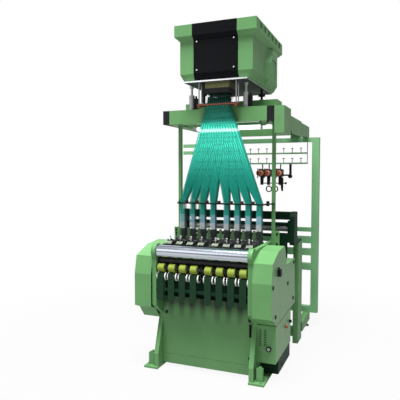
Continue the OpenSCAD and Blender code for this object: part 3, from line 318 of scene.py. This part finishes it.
greens = {"body": (0.133, 0.325, 0.122), "frame": (0.121, 0.302, 0.113), "dark": (0.007, 0.032, 0.016),
          "post": (0.19, 0.43, 0.21), "plate": (0.008, 0.036, 0.015), "sheet": (0.104, 0.268, 0.096),
          "guide": (0.095, 0.165, 0.075)}
bodyPaint = machinePaint("green machine paint", greens["body"])
# the glossy sheet paint carries painted shade and painted reflection bands high on the front panel
sheetPaint = machinePaint("glossy sheet paint", greens["sheet"], rough=0.24, coat=0.15, stainAndShade=paintedPanelShade)
framePaint = machinePaint("green casting paint", greens["frame"], rough=0.42)
# dark green paint; on the inner panels it is also painted shade for the machine's interior
darkPaintAndShade = machinePaint("dark green paint", greens["dark"], rough=0.48, spec=0.08, dust=0.02)
platePaint = machinePaint("guide plate paint", greens["plate"], rough=0.34, chips=0.68, spec=0.16)
guidePaint = machinePaint("warp guide paint", greens["guide"])
postPaint = machinePaint("creel paint", greens["post"])
blackPaint = machinePaint("black paint", (0.006, 0.007, 0.007), rough=0.40, spec=0.2)
blackPlastic = plainPlastic("black plastic", (0.009, 0.010, 0.011), 0.45)
satinBlack = plainPlastic("satin black panel", (0.003, 0.004, 0.005), 0.24, 500.0, 0.03, spec=0.06)
whiteCord = plainPlastic("white thread", (0.80, 0.80, 0.78), 0.6)
groundSteel = linedSteel("ground steel", (0.52, 0.54, 0.56), 0.34)
darkSteel = linedSteel("reed steel", (0.20, 0.21, 0.21), 0.40)
yellowRubber = mouldedRubber("yellow rubber", (0.25, 0.33, 0.035), 0.6, meets["nipShaft"])
blackRubber = mouldedRubber("black rubber", (0.012, 0.012, 0.013), 0.5)
# the base plate below its top face is painted shade: a dark non-metal tone under the bright metal
plateMetal = twoTone("base plate", lambda f: f.axis("Z").above(meets["plateTop"]), "under", "bright", 400.0)
spoolFinish = twoTone("guide spools", lambda f: f.reach("YZ", meets["spoolAxis"]).above(meets["spoolShaft"]),
                      "black", "white")
weftFinish = twoTone("weft heads", lambda f: f.axis("Z").above(meets["weftStalks"])
                     * f.axis("Y").above(meets["weftFront"]), "black", "white")
combFinish = twoTone("ribbed guides", combFaces, "black", "bone")
hookFinish = twoTone("hook modules", lambda f: f.axis("Z").above(meets["hookZ"])
                     * f.axis("X").above(meets["hookX"]), "black", "olive", 300.0)
jackFinish = twoTone("front jacks", jackSleeves, "silver", "black", 500.0)
boardFinish = twoTone("copper board", lambda f: f.axis("Z").above(meets["boardTop"]), "copper", "steel")
switchFinish = twoTone("main switch", lambda f: between(f.reach("XZ", meets["switchAxis"]),
                                                        *meets["switchRing"]), "black", "white")
stopFinish = twoTone("stop button", lambda f: f.reach("YZ", meets["stopAxis"]).below(meets["stopCap"]),
                     "orange", "darkRed")
boltFinish = twoTone("bolts and screws", headScrews, "black", "bright", 300.0)
gearFinish = twoTone("gearbox", gearCaps, "green", "black")
clampFinish = twoTone("comber board", lambda f: f.axis("Y").below(meets["comberFront"]), "black", "darkRed")
threadRail = twoTone("yarn rails", railStripes, "paleGreen", "darkRed")
drumFinish = twoTone("feeder drums", lambda f: between(f.axis("Y"), *meets["drumY"]), "orange", "cream")

# The take-down roller: polished and worn in bands round it, with streaks along it
rollerLook = {"streaks": (0.36, 0.64), "dark": (0.34, 0.40, 0.50), "light": (0.70, 0.73, 0.77),
              "worn": (0.5, 0.8), "wornShare": 0.18, "wornColor": (0.44, 0.48, 0.54), "rough": 0.15,
              "fineRough": 0.08, "bandRough": 0.06, "relief": 0.04, "depth": 0.0002}


def rollerSteel():
    f, look = Finish("polished roller steel"), rollerLook
    lines = f.noise(120.0, 3.0, 0.5, (0.006, 1.0, 1.0))
    fine = f.noise(700.0, 2.0, 0.5, (0.02, 1.0, 1.0))
    bands = f.noise(22.0, 3.0, 0.5, (1.0, 0.02, 0.02))
    body = f.blend(lines.step(*look["streaks"]), look["dark"], look["light"])
    body = f.blend(bands.step(*look["worn"]) * look["wornShare"], body, look["wornColor"])
    return f.set(color=body, metal=1.0,
                 rough=(look["rough"] + fine * look["fineRough"] + bands * look["bandRough"]).clip(),
                 normal=f.bump(fine, look["relief"], look["depth"]))


# The work lamp: a lit tube with dull ends, under its green rail
lampLook = {"middle": -0.025, "ends": (0.285, 0.300), "railZ": 1.9722, "tube": (0.86, 0.90, 0.90),
            "cap": (0.45, 0.47, 0.47), "light": (0.95, 1.0, 1.0), "power": 1.6, "rough": 0.22, "spread": 0.08}
unlit = (0.0, 0.0, 0.0)


def lampGlass():
    f, look = Finish("lamp tube"), lampLook
    ends = (f.axis("X") - look["middle"]).size().step(*look["ends"])
    rail = f.axis("Z").above(look["railZ"])
    body = f.blend(rail, f.blend(ends, look["tube"], look["cap"]), greens["body"])
    glow = f.blend(rail, f.blend(ends, look["light"], unlit), unlit)
    return f.set(color=body, rough=(look["rough"] + f.noise(300.0) * look["spread"]).clip(), glow=glow,
                 glowPower=look["power"])


rollerMetal = rollerSteel()
lampTube = lampGlass()
print("paints and metals made")

nodeFinish = {
    "left_side_frame": framePaint, "right_side_frame": framePaint, "front_panel": sheetPaint,
    # the inner panels are a dark sheet behind the guide plates, painted shade for the interior
    "kick_plate": sheetPaint, "fasteners": boltFinish, "tie_beams": framePaint, "inner_panels": darkPaintAndShade,
    "left_side_cover": bodyPaint, "right_side_cover": bodyPaint, "control_box": bodyPaint,
    "box_plinth": darkPaintAndShade, "box_door": bodyPaint, "main_switch": switchFinish, "stop_button": stopFinish,
    "door_lock": blackPlastic, "take_down_roller": rollerMetal, "press_roller": blackRubber,
    "nip_rollers": yellowRubber, "guide_spools": spoolFinish, "guide_plates": platePaint,
    "plate_bar": darkPaintAndShade, "weaving_rails": blackPaint, "fabric_guides": combFinish,
    "weft_heads": weftFinish, "needle_bar": groundSteel, "reed_batten": darkSteel,
    "warp_guides": guidePaint, "main_shaft": groundSteel, "motor": darkPaintAndShade, "motor_rotor": groundSteel,
    "drive_belt": blackRubber, "start_lever": blackPlastic, "comber_board": clampFinish,
    "guide_board": boardFinish, "hook_modules": hookFinish, "gantry_columns": bodyPaint,
    "front_beam": bodyPaint, "beam_caps": blackPlastic, "side_beams": bodyPaint, "rear_beam": bodyPaint,
    "front_jacks": jackFinish, "left_rear_jack": blackPlastic, "right_rear_jack": blackPlastic,
    "drive_gearbox": gearFinish, "lamp": lampTube, "head_base_plate": plateMetal, "head_body": bodyPaint,
    "head_lid": bodyPaint, "head_front_band": satinBlack, "letoff_frame": darkPaintAndShade,
    "letoff_roller": groundSteel, "rear_posts": framePaint, "creel_frame": postPaint,
    "yarn_rails": threadRail, "feeder_bodies": blackPlastic, "feeder_drum_1": drumFinish,
    "feeder_drum_2": drumFinish, "feeder_drum_3": drumFinish,
}
for nodeName, material in nodeFinish.items():
    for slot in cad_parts[nodeName].material_slots:
        slot.material = material

# Soft edges on the sheet and box forms: coplanar faces are joined first, so that the bevel runs clean
softEdges = {"width": 0.0024, "segments": 2, "angle": 30.0, "merge": 0.00002, "flat": 0.4, "names": (
    "left_side_cover", "right_side_cover", "control_box", "box_door", "box_plinth", "front_panel",
    "kick_plate", "head_body", "head_lid", "head_front_band", "front_beam", "beam_caps", "side_beams",
    "rear_beam", "left_side_frame", "right_side_frame", "gantry_columns", "drive_gearbox", "creel_frame",
    "rear_posts", "hook_modules", "comber_board", "guide_plates", "plate_bar", "warp_guides",
    "letoff_frame", "fabric_guides")}
for nodeName in softEdges["names"]:
    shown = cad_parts[nodeName]
    weld = shown.modifiers.new("weld", "WELD")
    weld.merge_threshold = softEdges["merge"]
    flat = shown.modifiers.new("flat", "DECIMATE")
    flat.decimate_type, flat.angle_limit = "DISSOLVE", math.radians(softEdges["flat"])
    bevel = shown.modifiers.new("soft edge", "BEVEL")
    bevel.width, bevel.segments = softEdges["width"], softEdges["segments"]
    bevel.limit_method, bevel.angle_limit = "ANGLE", math.radians(softEdges["angle"])
print("edges softened")


def toObject(name, bm, material, smooth=False):
    mesh = bpy.data.meshes.new(name)
    bm.to_mesh(mesh)
    bm.free()
    mesh.materials.append(material)
    for face in mesh.polygons:
        face.use_smooth = smooth
    made = bpy.data.objects.new(name, mesh)
    bpy.context.collection.objects.link(made)
    return made


# A new piece of the loom: its bmesh is cleaned, given a material and set on the base
def addPiece(name, bm, material, smooth=False):
    bmesh.ops.remove_doubles(bm, verts=bm.verts, dist=1e-6)
    bmesh.ops.recalc_face_normals(bm, faces=bm.faces)
    made = toObject(name, bm, material, smooth)
    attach(made, "base")
    return made


def rod(bm, start, end, radius, sides=8, endRadius=None, caps=True):
    start, end = Vector(start), Vector(end)
    run = end - start
    turn = run.to_track_quat("Z", "Y").to_matrix().to_4x4()
    bmesh.ops.create_cone(bm, cap_ends=caps, segments=sides, radius1=radius,
                          radius2=radius if endRadius is None else endRadius, depth=run.length,
                          matrix=Matrix.Translation((start + end) / 2) @ turn)


def block(bm, low, high):
    low, high = Vector(low), Vector(high)
    bmesh.ops.create_cube(bm, size=1.0, matrix=Matrix.Translation((low + high) / 2)
                          @ Matrix.Diagonal((*(high - low), 1.0)))


# Places in a bundle of strands, from -0.5 to 0.5: every other column stands half a row further back
def spread(column, columns):
    return (column + 0.5) / columns - 0.5


def staggered(row, rows, column):
    return (row + 0.5 + 0.5 * (column % 2) - 0.25) / rows - 0.5


# Harness: eight fans of cords from the guide board to the comber board, pale ones before shaded ones: painted
# glow on the front cords, painted-shade copies behind them, in every fourth column and at the edges
harness = {"columns": 30, "rows": 7, "seed": 7, "jitter": 0.0004, "cord": 0.00070,
           "board": 2.100, "topY": 0.240, "gather": 0.200, "gatherDeep": 0.050,
           "comber": 1.309, "lowY": 0.290, "wide": 0.047, "deep": 0.060, "insetX": 0.0016, "insetY": 0.004,
           "frontRows": 3, "shadedColumnEvery": 4, "frontSize": (1.25, 1.15), "backSize": (2.0, 1.7)}
# The short run above the guide board, up to the hook modules: every third cord of its front row lit, the rest
# painted-shade copies
upperRun = {"columns": 34, "rows": 5, "cord": 0.0015, "rise": 0.012, "hooks": 2.195, "hookY": 0.295,
            "hookDeep": 0.150, "insetX": 0.006, "insetY": 0.004, "frontEvery": 3}
# Cord colours by height: teal that pales up the fan with a painted glow, a painted highlight streak from the
# lamp behind, painted shadow under the board and painted shade above it
cordLook = {"tint": (0.014, 0.46, 0.35), "pale": (0.060, 0.74, 0.58), "paling": (1.46, 1.86),
            "shadow": (0.024, 0.34, 0.24), "shadowing": (1.945, 1.985), "throughBoard": (2.098, 2.112),
            "highlightStreak": (0.82, 1.0, 0.97), "streakIn": (1.880, 1.897), "streakOut": (1.903, 1.922),
            "glow": (0.002, 0.042, 0.032), "glowEnd": (1.945, 1.975), "dim": (0.0, 0.018, 0.012),
            "dimming": (1.975, 2.01), "streakGlow": (0.36, 0.56, 0.52), "wander": 0.02,
            "rough": 0.42, "spread": 0.15, "spec": 0.35}
# front cords in full colour with a painted glow; back cords as painted-shade copies, darker and with less glow
litFrontCord = {"tint": 1.0, "pale": 1.0, "shadow": 1.0, "highlightStreak": 0.9, "above": (0.012, 0.22, 0.15),
             "glow": (0.05, 0.36, 0.28)}
shadedBackCord = {"tint": 0.34, "pale": 0.42, "shadow": 0.35, "highlightStreak": 0.4, "above": (0.0015, 0.022, 0.015),
            "glow": (0.004, 0.10, 0.075)}


def cordFinish(name, depth):
    f, look = Finish(name), cordLook
    strands = f.noise(900.0, 2.0, 0.5, (1.0, 1.0, 0.01))
    height = f.axis("Z") + (strands - 0.5) * look["wander"]
    fan, throughBoard = height.step(*look["paling"]), height.step(*look["throughBoard"])
    tint, pale = shade(look["tint"], depth["tint"]), shade(look["pale"], depth["pale"])
    body = f.blend(fan, f.blend(strands, shade(tint, 0.8), shade(tint, 1.4)),
                   f.blend(strands, shade(pale, 0.85), shade(pale, 1.25)))
    # painted shadow on the cords under the board
    body = f.blend(height.step(*look["shadowing"]), body, shade(look["shadow"], depth["shadow"]))
    # painted shade on the cords above the guide board
    body = f.blend(throughBoard, body, depth["above"])
    # a painted highlight streak, white and glowing
    highlightStreak = height.step(*look["streakIn"]) * (1 - height.step(*look["streakOut"])) * depth["highlightStreak"]
    body = f.blend(highlightStreak, body, look["highlightStreak"])
    # painted glow: rising up the fan, dimmed higher up, none above the board, brightest in the streak
    glow = f.blend(fan * (1 - height.step(*look["glowEnd"])), look["glow"], depth["glow"])
    glow = f.blend(height.step(*look["dimming"]), glow, look["dim"])
    glow = f.blend(throughBoard, glow, unlit)
    glow = f.blend(highlightStreak, glow, look["streakGlow"])
    return f.set(color=body, rough=look["rough"] + strands * look["spread"], spec=look["spec"], glow=glow,
                 glowPower=1.0)


def makeHarness():
    h, up = harness, upperRun
    rng = random.Random(h["seed"])
    front, back = bmesh.new(), bmesh.new()
    for low in headAt:
        for c in range(h["columns"]):
            for r in range(h["rows"]):
                u, v = spread(c, h["columns"]), staggered(r, h["rows"], c)
                jitter = rng.uniform(-h["jitter"], h["jitter"])
                start = (heads["sideways"] + u * h["gather"], panelY + h["topY"] + v * h["gatherDeep"],
                         h["board"])
                end = (low + u * (h["wide"] - h["insetX"]) + jitter,
                       panelY + h["lowY"] + v * (h["deep"] - h["insetY"]), h["comber"])
                inFront = r < h["frontRows"] and c % h["shadedColumnEvery"] and 0 < c < h["columns"] - 1
                top, foot = h["frontSize"] if inFront else h["backSize"]
                rod(front if inFront else back, start, end, h["cord"] * top, 5, h["cord"] * foot, caps=False)
    for c in range(up["columns"]):
        for r in range(up["rows"]):
            x = heads["sideways"] + spread(c, up["columns"]) * (h["gather"] - up["insetX"])
            v = staggered(r, up["rows"], c)
            rod(front if c % up["frontEvery"] == 1 and r == 0 else back,
                (x, panelY + h["topY"] + v * (h["gatherDeep"] - up["insetY"]), h["board"] + up["rise"]),
                (x, panelY + up["hookY"] + v * up["hookDeep"], up["hooks"]), up["cord"], 5, caps=False)
    return (addPiece("harnessCords", front, cordFinish("teal harness cord", litFrontCord), smooth=True),
            addPiece("harnessShadedCords", back, cordFinish("shaded harness cord", shadedBackCord), smooth=True))


harnessCords, harnessShadedCords = makeHarness()
for piece in (harnessCords, harnessShadedCords):
    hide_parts("harness_cords")
print("harness strung:", len(harnessCords.data.polygons), "faces")


# Heddles under the comber board: white, blue and teal by height, front strands with a faint painted glow before
# painted-shade copies, and a dark return spring under each
drops = {"columns": 16, "rows": 5, "cord": 0.0010, "spring": 0.0013, "top": 1.299, "springTop": 1.088,
         "low": 1.001, "overlap": 0.002, "insetX": 0.002, "insetY": 0.004}
heddleLook = {"white": (0.80, 0.83, 0.87), "whiteEnd": (1.138, 1.148), "blue": (0.36, 0.68, 0.80),
              "blueEnd": (1.205, 1.216), "teal": (0.03, 0.56, 0.45), "wander": 0.010,
              "deep": (0.015, 0.10, 0.070), "deepShare": 0.80, "dull": (0.20, 0.30, 0.32),
              "dullShare": 0.25, "rough": 0.40, "spread": 0.12, "frontGlow": 0.12, "backGlow": 0.01}
# spring turns: the dark and light bands are painted shade and painted highlight
springLook = {"turns": 2600.0, "dark": (0.012, 0.018, 0.016), "light": (0.10, 0.13, 0.12), "rough": 0.35,
              "spread": 0.2, "metal": 0.5, "relief": 0.5, "depth": 0.0008}


def heddleFinish(name, shaded):
    f, look = Finish(name), heddleLook
    height = f.axis("Z") + (f.noise(160.0, 2.0) - 0.5) * look["wander"]
    body = f.blend(height.step(*look["blueEnd"]), look["blue"], look["teal"])
    body = f.blend(height.step(*look["whiteEnd"]), look["white"], body)
    if shaded:
        # painted shade on the back copies
        body = f.blend(look["deepShare"], body, look["deep"])
    strands = f.noise(1200.0, 2.0, 0.5, (1.0, 1.0, 0.02))
    dulled = f.blend(strands * look["dullShare"], body, look["dull"], "MULTIPLY")
    # painted glow: a faint share of the colour, fainter still on the shaded copies
    glow = f.blend(1 - look["backGlow" if shaded else "frontGlow"], body, unlit)
    return f.set(color=dulled, rough=look["rough"] + strands * look["spread"], glow=glow, glowPower=1.0)


def springFinish():
    f, look = Finish("return springs"), springLook
    # bands of painted highlight and painted shade for the spring's turns, with a bump for their relief
    turns = (f.axis("Z") * look["turns"]).wave() * 0.5 + 0.5
    body = f.blend(turns, look["dark"], look["light"])
    return f.set(color=body, rough=look["rough"] + turns * look["spread"], metal=look["metal"],
                 normal=f.bump(turns, look["relief"], look["depth"]))


def makeDrops():
    d = drops
    strands, shadedHeddles, springs = bmesh.new(), bmesh.new(), bmesh.new()
    for low in headAt:
        for c in range(d["columns"]):
            for r in range(d["rows"]):
                x = low + spread(c, d["columns"]) * (harness["wide"] - d["insetX"])
                y = panelY + harness["lowY"] + staggered(r, d["rows"], c) * (harness["deep"] - d["insetY"])
                rod(shadedHeddles if r or c == d["columns"] - 1 else strands, (x, y, d["springTop"]),
                    (x, y, d["top"]), d["cord"], 5, caps=False)
                rod(springs, (x, y, d["low"]), (x, y, d["springTop"] + d["overlap"]), d["spring"], 6,
                    caps=False)
    return (addPiece("heddleStrands", strands, heddleFinish("heddle strands", False), smooth=True),
            addPiece("heddleShadedStrands", shadedHeddles, heddleFinish("shaded heddle strands", True), smooth=True),
            addPiece("returnSprings", springs, springFinish(), smooth=True))


for piece, slot in zip(makeDrops(), ("heddle_cord", "heddle_cord", "black_paint")):
    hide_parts("heddle_drops")
print("heddles hung")

# Small fittings of each weaving head, from its middle, the face of its weft head and the floor
fittings = {"face": 0.0545, "screwX": (-0.015, 0.0, 0.015), "screwZ": 0.958, "screwHead": 0.003,
            "screw": 0.0035, "thread": 0.0007,
            "bar": ((-0.021, -0.006, 0.966), (0.021, 0.0, 0.976)),
            "lever": ((-0.019, -0.014, 0.978), (-0.011, 0.001, 0.996)),
            "eye": ((0.013, -0.004, 0.981), (0.013, -0.012, 0.981), 0.0045),
            "stalk": ((-0.015, -0.012, 0.996), (-0.017, -0.030, 1.024), 0.0022),
            "knob": ((-0.017, -0.030, 1.022), (-0.017, -0.030, 1.030), 0.0040),
            "strut": ((0.0182, -0.0245, 0.985), (0.0182, -0.0045, 1.004), 0.0018),
            "tip": (-0.026, 0.0285, 1.041), "threadEnds": ((0.013, -0.010, 0.984), (-0.017, -0.030, 1.030))}


def headSpot(low, spot, side=1):
    return (low + side * spot[0], panelY + fittings["face"] + spot[1], spot[2])


def makeFittings():
    d = fittings
    dark, steel, thread = bmesh.new(), bmesh.new(), bmesh.new()
    for low in headAt:
        for x in d["screwX"]:
            rod(steel, headSpot(low, (x, 0.0, d["screwZ"])), headSpot(low, (x, -d["screwHead"], d["screwZ"])),
                d["screw"], 8)
        for name in ("bar", "lever"):
            block(dark, *[headSpot(low, corner) for corner in d[name]])
        for bm, name, sides in ((steel, "eye", 10), (dark, "stalk", 6), (dark, "knob", 8)):
            start, end, radius = d[name]
            rod(bm, headSpot(low, start), headSpot(low, end), radius, sides)
        for end in d["threadEnds"]:
            rod(thread, headSpot(low, d["tip"]), headSpot(low, end), d["thread"], 4)
        foot, top, radius = d["strut"]
        for side in (-1, 1):
            rod(dark, headSpot(low, foot, side), headSpot(low, top, side), radius, 5)
    made = [addPiece("headFittings", dark, blackPlastic), addPiece("headScrews", steel, groundSteel),
            addPiece("weftThreads", thread, whiteCord)]


# Dark carriers behind the nip shaft, one between every two rollers: a body, an arm and a stub on it
carriers = {"half": 0.012, "backY": -0.045, "bodyY": -0.078, "armY": -0.112, "bodyZ": (0.786, 0.846),
            "armZ": (0.8305, 0.840), "stubY": -0.100, "stubZ": (0.838, 0.846), "stub": 0.006}


def makeCarriers():
    d = carriers
    bm = bmesh.new()
    for left, right in zip(headAt, headAt[1:]):
        x = (left + right) / 2 - heads["sideways"]
        low, high = x - d["half"], x + d["half"]
        block(bm, (low, panelY + d["bodyY"], d["bodyZ"][0]), (high, panelY + d["backY"], d["bodyZ"][1]))
        block(bm, (low, panelY + d["armY"], d["armZ"][0]), (high, panelY + d["bodyY"], d["armZ"][1]))
        rod(bm, *[(x, panelY + d["stubY"], z) for z in d["stubZ"]], d["stub"], 8)
    addPiece("rollerCarriers", bm, blackPlastic)


# A black sheet behind the box's vents as painted shade inside them, three catches and a slot frame on the front
# panel
trim = {"ventX": (0.414, 0.486), "ventY": (0.0145, 0.0155), "ventZ": (0.258, 0.392),
        "catches": ((0.356, 0.448), (0.358, 0.159), (-0.338, 0.442)),
        "catch": 0.0125, "catchY": (0.0002, -0.0075), "knob": 0.0070, "knobY": (-0.0070, -0.0100),
        "slotX": (0.350, 0.3555, 0.3640, 0.3690), "slotZ": (0.318, 0.322, 0.413, 0.417), "slotY": -0.0025}


def makeTrim():
    d = trim
    bm = bmesh.new()
    # painted shade: a black sheet behind the vents
    block(bm, *[(x, panelY + y, z) for x, y, z in zip(d["ventX"], d["ventY"], d["ventZ"])])
    for x, z in d["catches"]:
        rod(bm, *[(x, panelY + y, z) for y in d["catchY"]], d["catch"], 16)
        rod(bm, *[(x, panelY + y, z) for y in d["knobY"]], d["knob"], 6)
    (left, innerLeft, innerRight, right), (low, innerLow, innerHigh, high) = d["slotX"], d["slotZ"]
    for x0, x1, z0, z1 in ((left, innerLeft, low, high), (innerRight, right, low, high),
                           (innerLeft, innerRight, innerHigh, high), (innerLeft, innerRight, low, innerLow)):
        block(bm, (x0, panelY + d["slotY"], z0), (x1, panelY, z1))
    addPiece("panelTrim", bm, blackPlastic)


# The cable loop under the front beam, between its two glands
cable = {"middle": 0.371, "half": 0.030, "sag": 0.032, "y": 0.315, "top": 1.9696, "radius": 0.0036,
         "steps": 10, "glandZ": (1.9700, 1.9620), "gland": 0.0075}


def makeCable():
    d = cable
    bm = bmesh.new()
    angles = [math.pi * i / d["steps"] for i in range(d["steps"] + 1)]
    arc = [Vector((d["middle"] - d["half"] * math.cos(angle), panelY + d["y"],
                   d["top"] - d["sag"] * math.sin(angle))) for angle in angles]
    for start, end in zip(arc, arc[1:]):
        rod(bm, start, end, d["radius"], 8)
    for side in (-1, 1):
        x = d["middle"] + side * d["half"]
        rod(bm, *[(x, panelY + d["y"], z) for z in d["glandZ"]], d["gland"], 8)
    addPiece("beamCable", bm, blackPlastic, smooth=True)


makeFittings()
makeCarriers()
makeTrim()
makeCable()
print("small fittings made")

# Stage: a floor that fades to white, four lamps, a pale world and the photograph's camera
stage = {"floor": (0.36, 0.36, 0.35), "cloud": 0.98, "size": 30.0, "drop": 0.0005, "clear": 1.6,
         "white": 3.6, "glow": 0.92, "mirrored": 0.20, "world": 0.22}
lamps = {"top": {"spot": (0.4, -3.4, 14.0), "aim": (0.1, -0.1, 0.8), "size": 6.6, "power": 4300.0},
         "key": {"spot": (-2.8, -5.4, 3.8), "aim": (0, 0, 1.0), "size": 3.4, "power": 44.0},
         "fill": {"spot": (4.6, -3.0, 2.8), "aim": (0, 0, 1.2), "size": 3.0, "power": 6.0},
         "rim": {"spot": (-3.4, 4.2, 4.4), "aim": (0, 0.4, 1.5), "size": 3.0, "power": 20.0}}
photoView = {"spot": (1.337, -3.699, 1.543), "pitch": 3.04, "turn": 22.12, "sensor": 36.0, "lens": 42.92,
             "farthest": 60.0}
pureWhite = (1.0, 1.0, 1.0, 1.0)


# How much of the white background a ray meets: all for the camera and clear pieces, part for metal
def whiteShare(nodes):
    camera, clear, mirror = [nodes.node("ShaderNodeLightPath", out=f"Is {ray} Ray")
                             for ray in ("Camera", "Transmission", "Glossy")]
    return camera.atLeast(clear).atLeast(mirror * stage["mirrored"])


def makeFloor():
    f = Finish("pale floor")
    color = f.blend(f.noise(1.2, 2.0), shade(stage["floor"], stage["cloud"]), stage["floor"])
    f.set(color=color, rough=0.8, spec=0.0)
    away = f.node("ShaderNodeVectorMath", {"operation": "LENGTH"}, {0: f.place}, out="Value")
    share = (away.step(stage["clear"], stage["white"]) * (1 - stage["glow"]) + stage["glow"]) * whiteShare(f)
    lit = f.node("ShaderNodeEmission", sockets={"Color": pureWhite, "Strength": 1.0})
    mixed = f.node("ShaderNodeMixShader", sockets={0: share, 1: Wire(f, f.shader.outputs[0]), 2: lit})
    f.feed(f.tree.nodes["Material Output"].inputs[0], mixed)
    bm = bmesh.new()
    bmesh.ops.create_grid(bm, x_segments=1, y_segments=1, size=stage["size"])
    bmesh.ops.translate(bm, verts=bm.verts, vec=(0, 0, -stage["drop"]))
    toObject("floor", bm, f.material)


def areaLamp(name, spot, aim, size, power):
    data = bpy.data.lights.new(name, "AREA")
    data.shape, data.size, data.energy = "DISK", size, power
    lamp = bpy.data.objects.new(name, data)
    lamp.location = spot
    lamp.rotation_euler = (Vector(aim) - Vector(spot)).to_track_quat("-Z", "Y").to_euler()
    bpy.context.collection.objects.link(lamp)


def makeWorld():
    world = bpy.data.worlds.new("studio")
    world.use_nodes = True
    sky = Nodes(world.node_tree)
    plain = sky.tree.nodes["Background"]
    sky.feed(plain.inputs["Color"], pureWhite)
    sky.feed(plain.inputs["Strength"], stage["world"])
    lit = sky.node("ShaderNodeBackground", sockets={"Color": pureWhite, "Strength": 1.0})
    mixed = sky.node("ShaderNodeMixShader", sockets={0: whiteShare(sky), 1: Wire(sky, plain.outputs[0]),
                                                     2: lit})
    sky.feed(sky.tree.nodes["World Output"].inputs[0], mixed)
    bpy.context.scene.world = world


def makeCamera():
    data = bpy.data.cameras.new("photo")
    data.sensor_width, data.lens = photoView["sensor"], photoView["lens"]
    data.clip_end = photoView["farthest"]
    camera = bpy.data.objects.new("photo", data)
    camera.location = photoView["spot"]
    camera.rotation_euler = (math.radians(90 - photoView["pitch"]), 0, math.radians(photoView["turn"]))
    bpy.context.collection.objects.link(camera)
    bpy.context.scene.camera = camera


makeFloor()
for lampName, lamp in lamps.items():
    areaLamp(lampName, **lamp)
makeWorld()
makeCamera()
bpy.context.scene.view_settings.view_transform = "Standard"
print("stage set")
